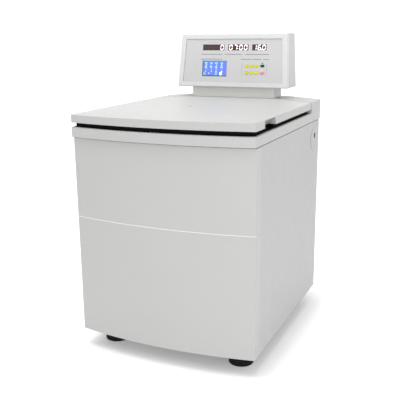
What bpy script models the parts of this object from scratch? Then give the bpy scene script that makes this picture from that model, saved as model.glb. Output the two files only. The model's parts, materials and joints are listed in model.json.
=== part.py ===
"""Floor-standing laboratory centrifuge: cabinet, lid, drive, rotor, cooling and control head.

Metres, +Z up, front towards -Y, origin at the middle of the footprint on the floor.
"""
import math

import bmesh
import bpy
from mathutils import Matrix, Vector

# Driving dimensions
HALF_WIDTH = 0.350
REAR_Y = 0.420
FRONT_CORNER_Y = -0.384
FRONT_BOW = 0.036
BODY_BOTTOM_Z = 0.066
PANEL_SEAM_Z = 0.515
PANEL_TOP_Z = 0.809
DECK_BOTTOM_Z = 0.812
DECK_TOP_Z = 0.848
LID_BOTTOM_Z = 0.864
LID_EDGE_Z = 0.8915
CROWN_RISE = 0.010
CROWN_BAND = 0.139
PLATEAU_Y = FRONT_CORNER_Y + 0.105
LID_REAR_Y = 0.274
BLOCK_FRONT_Y = 0.282
FIT_GAP = 0.0003

# Casing
SHEET = 0.002
MOULDING = 0.003
BODY_INSET = 0.002
PANEL_SETBACK = 0.013
PANEL_WRAP = 0.040
CORNER_RADIUS = 0.012
DECK_CORNER_RADIUS = 0.006
BODY_REAR_Y = 0.411
PANEL_SEAM_GAP = 0.002
LINER_INSET = 0.014
LINER_BOTTOM_Z = 0.8505
GRIP_Y = (-0.299, -0.193)
GRIP_DEPTH = 0.028
GRIP_FLARE = 0.012
GRIP_CLEARANCE = 0.011
SIGHT_PORT = (-0.020, -0.080)
SIGHT_RADIUS = 0.0085
FOOT_X = 0.261
FOOT_FRONT_Y = -0.272
FOOT_REAR_Y = 0.300
FOOT_RADIUS = 0.046
POST = 0.032
POST_X = 0.340
RAIL_BOTTOMS = {"drive_rail": 0.530, "deck_rail": 0.774}
SLOT_HEIGHT = 0.012
SLOT_PITCH = 0.032
LOUVRES = {"louvre": (9, 0.150, (0.000, 0.280)), "vent": (5, 0.600, (-0.240, 0.240))}

# Drive and chamber
DRIVE_Y = -0.058
CHAMBER_RADIUS = 0.235
CHAMBER_BOTTOM_Z = 0.600
BOWL_WALL = 0.0016
MOUTH_RADIUS = 0.247
COIL_RADIUS = 0.249
COIL_TUBE_RADIUS = 0.005
COIL_TURNS = 3
COIL_POINTS_PER_TURN = 16
FOAM_INNER = 0.257
FOAM_OUTER = 0.271
ARMOUR_INNER = 0.2735
ARMOUR_OUTER = 0.284
MOTOR_PLATE_Z = (0.562, 0.574)
MOTOR_FLANGE_Z = (0.530, 0.544)
ROTOR_BOTTOM_Z = 0.640
ROTOR_TOP_Z = 0.790
ROTOR_TOP_RADIUS = 0.150
ROTOR_MAX_RADIUS = 0.200
BOTTLE_COUNT = 6
BOTTLE_RADIUS = 0.034
BOTTLE_CIRCLE = 0.095
BOTTLE_TILT = math.radians(23)
BOTTLE_DEPTH = 0.128

# Hinge and latch
HINGE_Y = 0.278
HINGE_Z = 0.896
HINGE_HALF_LENGTH = 0.200
KNUCKLE_COUNT = 7
KNUCKLE_RADIUS = 0.0034
KNUCKLE_BORE = 0.0020
HINGE_PIN_RADIUS = 0.0016
STRIKER_Y = -0.361
HOOK_PIVOT = (-0.024, STRIKER_Y, 0.762)
HOOK_RELEASED = math.radians(-14)

# Control head
NECK_HALF_WIDTH = 0.188
NECK_Y = (0.299, 0.387)
HEAD_BOTTOM_Z = 0.9435
HEAD_TOP_Z = 1.163
HEAD_FRONT_BOTTOM_Y = 0.281
HEAD_FRONT_TOP_Y = 0.310
HEAD_REAR_BOTTOM_Y = 0.407
HEAD_REAR_TOP_Y = 0.411
HEAD_HALF_BOTTOM = 0.247
HEAD_HALF_TOP = 0.235
BEZEL_DEPTH = 0.024
HEAD_WALL = 0.003
FACE_HALF_BOTTOM = 0.224
FACE_HALF_TOP = 0.213
FACE_V = (0.021, 0.1995)
FACE_RECESS = 0.003
FACE_THICKNESS = 0.002
LED_V = (0.1527, 0.1774)
LED_WINDOWS = {
    "speed_display": (-0.136, -0.038),
    "time_display": (-0.021, 0.0695),
    "temperature_display": (0.0855, 0.148),
}
LCD_U = (-0.135, -0.0235)
LCD_V = (0.045, 0.1105)
KEY_COLUMNS = (0.065, 0.087, 0.109)
KEY_ROWS = (0.090, 0.061)
START_STOP_U = 0.134
KEY_HALF = (0.0085, 0.0050)
KEY_GAP = 0.0006
DISPLAY_DEPTH = 0.0066

# Cooling, supply and hand release
COMPRESSOR_PLACE = (-0.185, 0.245, 0)
FAN_CENTRE = (0.140, 0.312, 0.285)
FAN_HUB = (FAN_CENTRE[0], FAN_CENTRE[1] - 0.008, FAN_CENTRE[2])
FAN_BLADES = 5
CONDENSER_ROWS = 8
SUPPLY_X = -0.250
GLAND_Z = 0.150
SWITCH_Z = 0.235
RELEASE_PLACE = (0.333, 0.735)
RELEASE_RADIUS = 0.046
RELEASE_KEY_PLACE = (0.344, 0.750)
RELEASE_KEY_RADIUS = 0.011
RELEASE_KEY_GAP = 0.0006

PARTS = "laboratory_centrifuge"
CUTTERS = "cutters"


def start_scene():
    """Empty the scene and make the two collections."""
    for item in list(bpy.data.objects):
        bpy.data.objects.remove(item, do_unlink=True)
    for name in (PARTS, CUTTERS):
        group = bpy.data.collections.new(name)
        bpy.context.scene.collection.children.link(group)


def material(name, colour, roughness, metallic=0.0):
    """Principled material, made once for each name."""
    found = bpy.data.materials.get(name)
    if found:
        return found
    made = bpy.data.materials.new(name)
    made.use_nodes = True
    shader = made.node_tree.nodes["Principled BSDF"]
    shader.inputs["Base Color"].default_value = (*colour, 1.0)
    shader.inputs["Roughness"].default_value = roughness
    shader.inputs["Metallic"].default_value = metallic
    return made


MATERIALS = {
    "white_paint": ((0.74, 0.74, 0.72), 0.45, 0.0),
    "warm_white": ((0.66, 0.65, 0.61), 0.45, 0.0),
    "face_film": ((0.62, 0.61, 0.56), 0.40, 0.0),
    "black_rubber": ((0.02, 0.02, 0.02), 0.70, 0.0),
    "black_plastic": ((0.03, 0.03, 0.035), 0.50, 0.0),
    "grey_paint": ((0.35, 0.36, 0.37), 0.55, 0.0),
    "stainless": ((0.62, 0.62, 0.61), 0.28, 1.0),
    "zinc_steel": ((0.55, 0.55, 0.53), 0.40, 1.0),
    "dark_steel": ((0.18, 0.18, 0.19), 0.45, 1.0),
    "aluminium": ((0.70, 0.71, 0.72), 0.35, 1.0),
    "copper": ((0.72, 0.38, 0.22), 0.35, 1.0),
    "foam": ((0.80, 0.72, 0.50), 0.90, 0.0),
    "smoked_window": ((0.05, 0.02, 0.02), 0.15, 0.0),
    "blue_display": ((0.05, 0.22, 0.75), 0.20, 0.0),
    "yellow_key": ((0.85, 0.68, 0.05), 0.45, 0.0),
    "green_key": ((0.05, 0.30, 0.14), 0.45, 0.0),
    "red_key": ((0.78, 0.20, 0.22), 0.45, 0.0),
    "board_green": ((0.04, 0.22, 0.10), 0.50, 0.0),
    "clear_glass": ((0.55, 0.60, 0.60), 0.05, 0.0),
}


def add(name, mesh, finish, group=PARTS):
    """Object from a mesh, in a collection, with its material."""
    item = bpy.data.objects.new(name, mesh)
    bpy.data.collections[group].objects.link(item)
    if finish:
        mesh.materials.append(material(finish, *MATERIALS[finish]))
    if group == CUTTERS:
        item.hide_render = True
        item.display_type = "WIRE"
    return item


def tidy(mesh, smooth=False):
    """Weld, turn the faces out, and shade a round piece smooth."""
    work = bmesh.new()
    work.from_mesh(mesh)
    bmesh.ops.remove_doubles(work, verts=work.verts, dist=0.00002)
    bmesh.ops.recalc_face_normals(work, faces=work.faces)
    work.to_mesh(mesh)
    work.free()
    if smooth:
        mesh.shade_smooth()
        mesh.set_sharp_from_angle(angle=math.radians(35))


def baked(item, smooth=False):
    """Replace an object's mesh with its evaluated one, welded."""
    bpy.context.view_layer.update()
    seen = item.evaluated_get(bpy.context.evaluated_depsgraph_get())
    mesh = bpy.data.meshes.new_from_object(seen)
    item.modifiers.clear()
    item.data = mesh
    tidy(mesh, smooth)
    return item


def box(name, low, high, finish=None, group=PARTS):
    """Box between two corners."""
    low, high = Vector(low), Vector(high)
    work = bmesh.new()
    bmesh.ops.create_cube(work, size=1.0)
    size = high - low
    bmesh.ops.scale(work, vec=size, verts=work.verts)
    bmesh.ops.translate(work, vec=(low + high) / 2, verts=work.verts)
    mesh = bpy.data.meshes.new(name)
    work.to_mesh(mesh)
    work.free()
    return add(name, mesh, finish, group)


def rod(name, centre, radius, length, finish=None, axis="Z", sides=24, group=PARTS):
    """Cylinder about its centre, along one axis."""
    turn = {"X": Matrix.Rotation(math.pi / 2, 4, "Y"), "Y": Matrix.Rotation(math.pi / 2, 4, "X")}
    work = bmesh.new()
    place = Matrix.Translation(centre) @ turn.get(axis, Matrix.Identity(4))
    bmesh.ops.create_cone(work, cap_ends=True, segments=sides, radius1=radius, radius2=radius,
                          depth=length, matrix=place)
    mesh = bpy.data.meshes.new(name)
    work.to_mesh(mesh)
    work.free()
    tidy(mesh, smooth=True)
    return add(name, mesh, finish, group)


def prism(name, points, low, high, finish=None, axis="Z", group=PARTS):
    """Flat outline, extruded along Z, or along Y from points (x, z), or along X from (y, z)."""
    curve = bpy.data.curves.new(name, "CURVE")
    curve.dimensions = "2D"
    curve.fill_mode = "BOTH"
    curve.extrude = (high - low) / 2
    line = curve.splines.new("POLY")
    line.points.add(len(points) - 1)
    for slot, (a, b) in zip(line.points, points):
        slot.co = (a, b, 0, 1)
    line.use_cyclic_u = True
    flat = bpy.data.objects.new(name + "_outline", curve)
    bpy.data.collections[CUTTERS].objects.link(flat)
    bpy.context.view_layer.update()
    seen = flat.evaluated_get(bpy.context.evaluated_depsgraph_get())
    mesh = bpy.data.meshes.new_from_object(seen)
    mesh.name = name
    mesh.materials.clear()
    bpy.data.objects.remove(flat, do_unlink=True)
    middle = (low + high) / 2
    frames = {
        "Z": Matrix(((1, 0, 0, 0), (0, 1, 0, 0), (0, 0, 1, middle), (0, 0, 0, 1))),
        "Y": Matrix(((1, 0, 0, 0), (0, 0, 1, middle), (0, 1, 0, 0), (0, 0, 0, 1))),
        "X": Matrix(((0, 0, 1, middle), (1, 0, 0, 0), (0, 1, 0, 0), (0, 0, 0, 1))),
    }
    mesh.transform(frames[axis])
    tidy(mesh)
    return add(name, mesh, finish, group)


def turned(name, profile, centre, finish=None, steps=32, group=PARTS, axis="Z"):
    """Closed or axis-to-axis profile of (radius, height) turned about an axis through centre."""
    mesh = bpy.data.meshes.new(name)
    ends_on_axis = profile[0][0] == 0
    edges = [(i, i + 1) for i in range(len(profile) - 1)]
    if not ends_on_axis:
        edges.append((len(profile) - 1, 0))
    mesh.from_pydata([(r, 0, z) for r, z in profile], edges, [])
    item = add(name, mesh, finish, group)
    screw = item.modifiers.new("turn", "SCREW")
    screw.angle = math.tau
    screw.steps = steps
    screw.render_steps = steps
    screw.use_merge_vertices = True
    screw.merge_threshold = 0.00001
    baked(item, smooth=True)
    if axis == "Y":
        item.data.transform(Matrix.Rotation(math.pi / 2, 4, "X"))
    if axis == "X":
        item.data.transform(Matrix.Rotation(math.pi / 2, 4, "Y"))
    item.data.transform(Matrix.Translation(centre))
    return item


def combine(item, others, operation):
    """Boolean modifiers, one for each cutter or added body."""
    for other in others:
        step = item.modifiers.new(other.name, "BOOLEAN")
        step.operation = operation
        step.object = other
        step.solver = "EXACT"
    return item


def cut(item, *others):
    return combine(item, others, "DIFFERENCE")


def fuse(item, *others):
    return combine(item, others, "UNION")


def ride_on(item, empty):
    """Parent to an empty and keep the place in the world."""
    bpy.context.view_layer.update()
    item.parent = empty
    item.matrix_parent_inverse = empty.matrix_world.inverted()


def axis_empty(name, place):
    empty = bpy.data.objects.new(name, None)
    empty.location = place
    empty.empty_display_size = 0.05
    bpy.data.collections[PARTS].objects.link(empty)
    return empty


def bowed_y(x, corner_y, half=HALF_WIDTH, bow=FRONT_BOW):
    """Front edge: a circular arc through the two front corners."""
    radius = (half * half + bow * bow) / (2 * bow)
    return corner_y - bow + radius - math.sqrt(radius * radius - x * x)


def corner_arc(centre, radius, start, end, steps=4):
    """Points on an arc between two angles in degrees."""
    points = []
    for i in range(steps + 1):
        turn = math.radians(start + (end - start) * i / steps)
        points.append((centre[0] + radius * math.cos(turn), centre[1] + radius * math.sin(turn)))
    return points


def front_line(half, corner_y, radius, steps=16):
    """Rounded front corners and the bowed edge between them, from left to right."""
    inner = half - radius
    start_y = bowed_y(inner, corner_y, half)
    line = corner_arc((-inner, start_y + radius), radius, 180, 262)
    for i in range(1, steps):
        x = -inner + 2 * inner * i / steps
        line.append((x, bowed_y(x, corner_y, half)))
    line += corner_arc((inner, start_y + radius), radius, 278, 360)
    return line


def top_outline(inset=0.0, rear=REAR_Y):
    """Outline of the deck or lid, seen from above."""
    half = HALF_WIDTH - inset
    corner = max(DECK_CORNER_RADIUS - inset, 0.003)
    line = front_line(half, FRONT_CORNER_Y + inset, corner)
    return line + [(half, rear), (-half, rear)]


def crown_points(inset, drop, low):
    """Cross-section across the width: straight sides and a shallow crown."""
    half = HALF_WIDTH - inset
    flat = HALF_WIDTH - CROWN_BAND
    edge = LID_EDGE_Z - drop + CROWN_RISE * inset / CROWN_BAND
    top = LID_EDGE_Z + CROWN_RISE - drop
    return [(-half, low), (half, low), (half, edge), (flat, top), (-flat, top), (-half, edge)]


def crowned(name, inset, drop, low, rear, finish=None, group=PARTS):
    """Closed lid form: straight skirt and a hipped top that falls to the front and the sides."""
    outline = top_outline(inset, rear)
    flat_x = HALF_WIDTH - CROWN_BAND
    edge = LID_EDGE_Z - drop + CROWN_RISE * inset / CROWN_BAND
    top = LID_EDGE_Z + CROWN_RISE - drop
    work = bmesh.new()
    rings = [[work.verts.new((x, y, low)) for x, y in outline],
             [work.verts.new((x, y, edge)) for x, y in outline]]
    ring = []
    for x, y in outline:
        plateau_y = rear if y == rear else PLATEAU_Y
        ring.append(work.verts.new((max(-flat_x, min(flat_x, x)), plateau_y, top)))
    rings.append(ring)
    count = len(outline)
    for lower, upper in zip(rings, rings[1:]):
        for i in range(count):
            j = (i + 1) % count
            work.faces.new((lower[i], lower[j], upper[j], upper[i]))
    work.faces.new(rings[0][::-1])
    work.faces.new(rings[-1])
    mesh = bpy.data.meshes.new(name)
    bmesh.ops.remove_doubles(work, verts=work.verts, dist=0.0001)
    work.to_mesh(mesh)
    work.free()
    tidy(mesh)
    return add(name, mesh, finish, group)


def grip_wedge(name, side, grow):
    """Finger scoop under the lid's edge on one side, with a rear end that flares downwards."""
    out = side * (HALF_WIDTH + 0.004)
    deep = side * (HALF_WIDTH - GRIP_DEPTH - grow)
    top = LID_EDGE_Z - 0.002 + grow
    low = LID_BOTTOM_Z - 0.020
    points = [(out, top), (out, low), (deep, low), (deep, LID_BOTTOM_Z), (side * (HALF_WIDTH - grow), top)]
    if side < 0:
        points.reverse()
    wedge = prism(name, points, GRIP_Y[0] - grow, GRIP_Y[1] + grow, axis="Y", group=CUTTERS)
    for point in wedge.data.vertices:
        if point.co.y > sum(GRIP_Y) / 2:
            point.co.y += GRIP_FLARE * (top - point.co.z) / (LID_EDGE_Z - LID_BOTTOM_Z)
    return wedge


# ---------------------------------------------------------------- casing

def chassis_frame():
    """Welded frame: base ring, posts and the rails that carry drive and deck."""
    low = BODY_BOTTOM_Z + 0.002
    front, rear = -0.325, 0.395
    frame = box("chassis_frame", (-POST_X, front, low), (POST_X, rear, low + 0.018), "grey_paint")
    cut(frame, box("base_window", (-0.120, -0.285, low - 0.01), (0.300, 0.100, low + 0.03), group=CUTTERS))
    bars = []
    for side, x in (("left", -POST_X), ("right", POST_X - POST)):
        for end, y in (("front", front), ("rear", rear - POST)):
            name = "post_{}_{}".format(side, end)
            bars.append(box(name, (x, y, low + 0.001), (x + POST, y + POST, 0.806), group=CUTTERS))
        for name, z in RAIL_BOTTOMS.items():
            corner = (x + POST - 0.001, rear - 0.001, z + POST - 0.0005)
            bars.append(box(name + "_" + side, (x + 0.001, front + 0.001, z), corner, group=CUTTERS))
    return fuse(frame, *bars)


def feet():
    """Round rubber feet under the corners of the frame."""
    top = BODY_BOTTOM_Z + 0.0017
    shape = [(0, top), (0.012, top), (0.012, 0.056), (0.034, 0.050), (FOOT_RADIUS, 0.022),
             (FOOT_RADIUS, 0.006), (FOOT_RADIUS - 0.005, 0), (0, 0)]
    for end, y in (("front", FOOT_FRONT_Y), ("rear", FOOT_REAR_Y)):
        for side, x in (("left", -FOOT_X), ("right", FOOT_X)):
            turned("foot_{}_{}".format(end, side), shape, (x, y, 0), "black_rubber", steps=24)


def front_panel(name, low, high):
    """Bowed front panel whose rounded corners wrap on to the sides."""
    half = HALF_WIDTH - BODY_INSET
    corner_y = FRONT_CORNER_Y + PANEL_SETBACK
    line = front_line(half, corner_y, CORNER_RADIUS)
    wrap_y = corner_y + PANEL_WRAP
    line = [(-half, wrap_y)] + line + [(half, wrap_y)]
    mesh = bpy.data.meshes.new(name)
    count = len(line)
    points = [(x, y, low) for x, y in line] + [(x, y, high) for x, y in line]
    faces = [(i, i + 1, count + i + 1, count + i) for i in range(count - 1)]
    mesh.from_pydata(points, [], faces)
    panel = add(name, mesh, "white_paint")
    wall = panel.modifiers.new("sheet", "SOLIDIFY")
    wall.thickness = SHEET
    wall.offset = -1
    wall.use_even_offset = True
    return baked(panel, smooth=True)


def side_panel(name, side):
    """Flat side panel with folded front and rear edges."""
    outer = side * (HALF_WIDTH - BODY_INSET)
    inner = outer - side * SHEET
    fold = outer - side * 0.006
    front = FRONT_CORNER_Y + PANEL_SETBACK + PANEL_WRAP + PANEL_SEAM_GAP
    rear = BODY_REAR_Y - 0.004
    points = [(outer, front), (outer, rear), (fold, rear), (fold, rear - SHEET), (inner, rear - SHEET),
              (inner, front + SHEET), (fold, front + SHEET), (fold, front)]
    return prism(name, points, BODY_BOTTOM_Z, PANEL_TOP_Z, "white_paint")


def through_rear(name, x, z):
    """Cutter through the rear sheet, between two x and two z."""
    low = (x[0], BODY_REAR_Y - 0.010, z[0])
    high = (x[1], BODY_REAR_Y + 0.010, z[1])
    return box(name, low, high, group=CUTTERS)


def rear_panel():
    """Rear sheet with two banks of louvre slots and the supply openings."""
    half = HALF_WIDTH - BODY_INSET
    low = (-half, BODY_REAR_Y - SHEET, BODY_BOTTOM_Z)
    panel = box("rear_panel", low, (half, BODY_REAR_Y, PANEL_TOP_Z), "white_paint")
    for name, (count, first_z, x) in LOUVRES.items():
        for i in range(count):
            z = first_z + SLOT_PITCH * i
            cut(panel, through_rear("{}_{}".format(name, i), x, (z, z + SLOT_HEIGHT)))
    gland = rod("gland_hole", (SUPPLY_X, BODY_REAR_Y, GLAND_Z), 0.0150, 0.03, axis="Y", group=CUTTERS)
    switch_x = (SUPPLY_X - 0.015, SUPPLY_X + 0.015)
    switch = through_rear("switch_hole", switch_x, (SWITCH_Z - 0.020, SWITCH_Z + 0.020))
    return cut(panel, gland, switch)


def deck_frame():
    """Top frame with the chamber mouth, the latch slot and the raised rear block that carries the head."""
    deck = prism("deck_frame", top_outline(), DECK_BOTTOM_Z, DECK_TOP_Z, "white_paint")
    rear = REAR_Y - 0.0001
    block_front = BLOCK_FRONT_Y + MOULDING
    outer = crown_points(0, 0, DECK_TOP_Z - 0.010)
    block = prism("rear_block", outer, BLOCK_FRONT_Y, rear, axis="Y", group=CUTTERS)
    hollow_top = DECK_TOP_Z - MOULDING
    hollow_outline = top_outline(MOULDING, REAR_Y - MOULDING)
    hollow = prism("deck_hollow", hollow_outline, DECK_BOTTOM_Z - 0.01, hollow_top, group=CUTTERS)
    section = crown_points(MOULDING, MOULDING, DECK_TOP_Z - 0.020)
    inner = prism("block_hollow", section, block_front, rear - MOULDING, axis="Y", group=CUTTERS)
    mouth = rod("chamber_mouth", (0, DRIVE_Y, DECK_TOP_Z), MOUTH_RADIUS, 0.05, sides=40, group=CUTTERS)
    slot = box("latch_slot", (-0.012, STRIKER_Y - 0.020, DECK_TOP_Z - 0.01),
               (0.012, STRIKER_Y + 0.014, DECK_TOP_Z + 0.01), group=CUTTERS)
    duct = box("cable_duct", (-0.060, NECK_Y[0] + 0.020, LID_EDGE_Z),
               (0.060, NECK_Y[1] - 0.020, LID_EDGE_Z + 0.03), group=CUTTERS)
    fuse(deck, block)
    return cut(deck, hollow, inner, mouth, slot, duct)


# ---------------------------------------------------------------- lid

def sight_hole(name, z):
    """Cutter for the viewing port."""
    return rod(name, (*SIGHT_PORT, z), SIGHT_RADIUS, 0.02, sides=20, group=CUTTERS)


def lid_shell(hinge):
    """Painted lid with a shallow hipped top and a finger scoop in each side."""
    shell = crowned("lid_shell", 0, 0, LID_BOTTOM_Z, LID_REAR_Y, "white_paint")
    rear = LID_REAR_Y - MOULDING
    hollow = crowned("lid_hollow", MOULDING, MOULDING, LID_BOTTOM_Z - 0.01, rear, group=CUTTERS)
    cut(hollow, grip_wedge("grip_wall_left", -1, MOULDING), grip_wedge("grip_wall_right", 1, MOULDING))
    baked(hollow)
    port = sight_hole("sight_hole", LID_EDGE_Z + CROWN_RISE)
    cut(shell, hollow, grip_wedge("grip_left", -1, 0), grip_wedge("grip_right", 1, 0), port)
    ride_on(shell, hinge)


def lid_liner(hinge):
    """Black moulded pan that closes the lid from below, set in from its edge."""
    rear = LID_REAR_Y - LINER_INSET
    pan = crowned("lid_liner", LINER_INSET, MOULDING + FIT_GAP, LINER_BOTTOM_Z, rear, "black_plastic")
    inset = LINER_INSET + MOULDING
    hollow = crowned("liner_hollow", inset, -0.02, LINER_BOTTOM_Z + MOULDING, rear - MOULDING, group=CUTTERS)
    dents = []
    for side in (-1, 1):
        label = "left" if side < 0 else "right"
        deep = HALF_WIDTH - GRIP_DEPTH - 2 * MOULDING
        front, back = GRIP_Y[0] - GRIP_CLEARANCE, GRIP_Y[1] + GRIP_CLEARANCE + GRIP_FLARE
        keep = box("dent_wall_" + label, (side * (deep - MOULDING), front - MOULDING, 0.80),
                   (side * HALF_WIDTH, back + MOULDING, 0.95), group=CUTTERS)
        tidy(keep.data)
        cut(hollow, keep)
        dent = box("dent_" + label, (side * deep, front, 0.80),
                   (side * (HALF_WIDTH + 0.01), back, 0.94), group=CUTTERS)
        tidy(dent.data)
        dents.append(dent)
    baked(hollow)
    port = sight_hole("liner_sight_hole", LINER_BOTTOM_Z)
    slot = box("striker_slot", (-0.0024, STRIKER_Y - 0.0114, LINER_BOTTOM_Z - 0.01),
               (0.0024, STRIKER_Y + 0.0114, LINER_BOTTOM_Z + 0.01), group=CUTTERS)
    cut(pan, hollow, *dents, port, slot)
    ride_on(pan, hinge)


def lid_sight_glass(hinge):
    """Small viewing port through the lid, used to check the speed by stroboscope."""
    top = LID_EDGE_Z + CROWN_RISE
    stem = SIGHT_RADIUS - 0.0005
    foot = LINER_BOTTOM_Z + FIT_GAP
    shape = [(0, top + 0.0012), (0.0105, top + 0.0012), (0.0110, top + FIT_GAP), (stem, top + FIT_GAP),
             (stem, foot), (0, foot)]
    glass = turned("lid_sight_glass", shape, (*SIGHT_PORT, 0), "clear_glass", steps=20)
    ride_on(glass, hinge)


def lid_striker(hinge):
    """Steel tongue under the lid, with the window that the latch hook enters."""
    base = LINER_BOTTOM_Z + MOULDING + FIT_GAP
    y = STRIKER_Y
    tongue = box("lid_striker", (-0.002, y - 0.011, 0.820), (0.002, y + 0.011, base + 0.001), "zinc_steel")
    flange = box("striker_flange", (-0.016, y - 0.016, base), (0.016, y + 0.016, base + 0.003), group=CUTTERS)
    window = box("striker_window", (-0.010, y - 0.006, 0.826), (0.010, y + 0.006, 0.843), group=CUTTERS)
    fuse(tongue, flange)
    cut(tongue, window)
    ride_on(tongue, hinge)


def hinge_leaf(name, side, first, finish):
    """Leaf with every second knuckle; side -1 screws to the lid, +1 to the rear block."""
    pitch = 2 * HINGE_HALF_LENGTH / KNUCKLE_COUNT
    near, far = sorted((HINGE_Y + side * 0.0020, HINGE_Y + side * KNUCKLE_RADIUS))
    low = HINGE_Z - 0.020
    reach = KNUCKLE_RADIUS + 0.0011
    leaf = box(name, (-HINGE_HALF_LENGTH, near, low), (HINGE_HALF_LENGTH, far, HINGE_Z), finish)
    for i in range(KNUCKLE_COUNT):
        x = -HINGE_HALF_LENGTH + pitch * (i + 0.5)
        if i % 2 == first:
            knuckle = rod("{}_knuckle_{}".format(name, i), (x, HINGE_Y, HINGE_Z), KNUCKLE_RADIUS,
                          pitch - 0.0008, axis="X", sides=16, group=CUTTERS)
            fuse(leaf, knuckle)
        else:
            relief = box("{}_relief_{}".format(name, i), (x - pitch / 2, HINGE_Y - reach, HINGE_Z - reach),
                         (x + pitch / 2, HINGE_Y + reach, HINGE_Z + reach), group=CUTTERS)
            cut(leaf, relief)
    length = 2 * HINGE_HALF_LENGTH + 0.02
    bore = rod(name + "_bore", (0, HINGE_Y, HINGE_Z), KNUCKLE_BORE, length, axis="X", sides=16, group=CUTTERS)
    return cut(leaf, bore)


def lid_hinge(hinge):
    """Long pin hinge in the gap between lid and rear block."""
    ride_on(hinge_leaf("hinge_lid_leaf", -1, 1, "zinc_steel"), hinge)
    hinge_leaf("hinge_deck_leaf", 1, 0, "zinc_steel")
    length = 2 * HINGE_HALF_LENGTH
    rod("hinge_pin", (0, HINGE_Y, HINGE_Z), HINGE_PIN_RADIUS, length, "zinc_steel", axis="X", sides=16)


# ---------------------------------------------------------------- latch

def latch():
    """Hook that swings into the striker's window, in a folded bracket under the deck."""
    px, py, pz = HOOK_PIVOT
    half, sheet, height = 0.016, 0.003, 0.092
    section = [(-half, 0.004), (-half, -half), (half, -half), (half, 0.004), (half - sheet, 0.004),
               (half - sheet, sheet - half), (sheet - half, sheet - half), (sheet - half, 0.004)]
    bracket = prism("latch_bracket", section, 0, height, "zinc_steel")
    bracket.data.transform(Matrix.Rotation(math.radians(-90), 4, "Z"))
    bracket.data.transform(Matrix.Translation((px - 0.020, py, pz - 0.014)))
    for label, near, far in (("front", -half, sheet - half), ("rear", half - sheet, half)):
        wing = box("latch_wing_" + label, (px - 0.020, py + near, pz - 0.014),
                   (px + 0.010, py + far, pz + 0.014), group=CUTTERS)
        fuse(bracket, wing)
    fuse(bracket, rod("latch_pin", (px, py, pz), 0.003, 0.031, axis="Y", sides=16, group=CUTTERS))
    outline = [(-0.006, -0.006), (0.006, -0.006), (0.006, 0.066), (0.030, 0.068), (0.030, 0.0745),
               (-0.006, 0.0745)]
    hook = prism("latch_hook", outline, -0.004, 0.004, "zinc_steel", axis="Y")
    cut(hook, rod("hook_hole", (0, 0, 0), 0.0034, 0.02, axis="Y", sides=16, group=CUTTERS))
    baked(hook)
    hook.location = HOOK_PIVOT
    hook.rotation_euler = (0, HOOK_RELEASED, 0)


# ---------------------------------------------------------------- chamber and drive

def chamber():
    """Stainless bowl, its cooling coil, foam jacket, armour ring and mouth seal."""
    place = (0, DRIVE_Y, 0)
    wall = CHAMBER_RADIUS + BOWL_WALL
    rim = DECK_TOP_Z - MOULDING - FIT_GAP
    floor = CHAMBER_BOTTOM_Z
    flange, hub, fillet = 0.262, 0.032, 0.025
    bowl = [(flange, rim), (flange, rim - BOWL_WALL), (wall, rim - BOWL_WALL), (wall, floor + fillet),
            (wall - fillet, floor), (hub, floor), (hub, floor + BOWL_WALL),
            (wall - fillet, floor + BOWL_WALL), (CHAMBER_RADIUS, floor + fillet), (CHAMBER_RADIUS, rim)]
    turned("rotor_chamber", bowl, place, "stainless", steps=40)
    low, high = DECK_TOP_Z + FIT_GAP, DECK_TOP_Z + 0.0021
    seal = [(flange, low), (MOUTH_RADIUS + 0.002, low), (MOUTH_RADIUS + 0.004, high), (flange - 0.002, high)]
    turned("chamber_gasket", seal, place, "black_rubber", steps=40)
    foam_low, foam_floor, foam_top = 0.578, 0.5985, 0.838
    foam = [(FOAM_OUTER, foam_top), (FOAM_OUTER, foam_low), (0.045, foam_low), (0.045, foam_floor),
            (FOAM_INNER, foam_floor), (FOAM_INNER, foam_top)]
    turned("chamber_insulation", foam, place, "foam")
    low, high = MOTOR_PLATE_Z[1] + 0.0005, foam_top - 0.002
    armour = [(ARMOUR_OUTER, high), (ARMOUR_OUTER, low), (ARMOUR_INNER, low), (ARMOUR_INNER, high)]
    turned("armour_ring", armour, place, "dark_steel")


def evaporator_coil():
    """Copper tube wound round the bowl."""
    curve = bpy.data.curves.new("evaporator_coil", "CURVE")
    curve.dimensions = "3D"
    curve.bevel_depth = COIL_TUBE_RADIUS
    curve.bevel_resolution = 2
    curve.use_fill_caps = True
    line = curve.splines.new("POLY")
    count = COIL_TURNS * COIL_POINTS_PER_TURN
    line.points.add(count)
    for i in range(count + 1):
        turn = math.tau * i / COIL_POINTS_PER_TURN
        z = 0.640 + 0.052 * i / COIL_POINTS_PER_TURN
        line.points[i].co = (COIL_RADIUS * math.cos(turn), DRIVE_Y + COIL_RADIUS * math.sin(turn), z, 1)
    curve.materials.append(material("copper", *MATERIALS["copper"]))
    tube = bpy.data.objects.new("evaporator_coil", curve)
    bpy.data.collections[PARTS].objects.link(tube)


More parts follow.
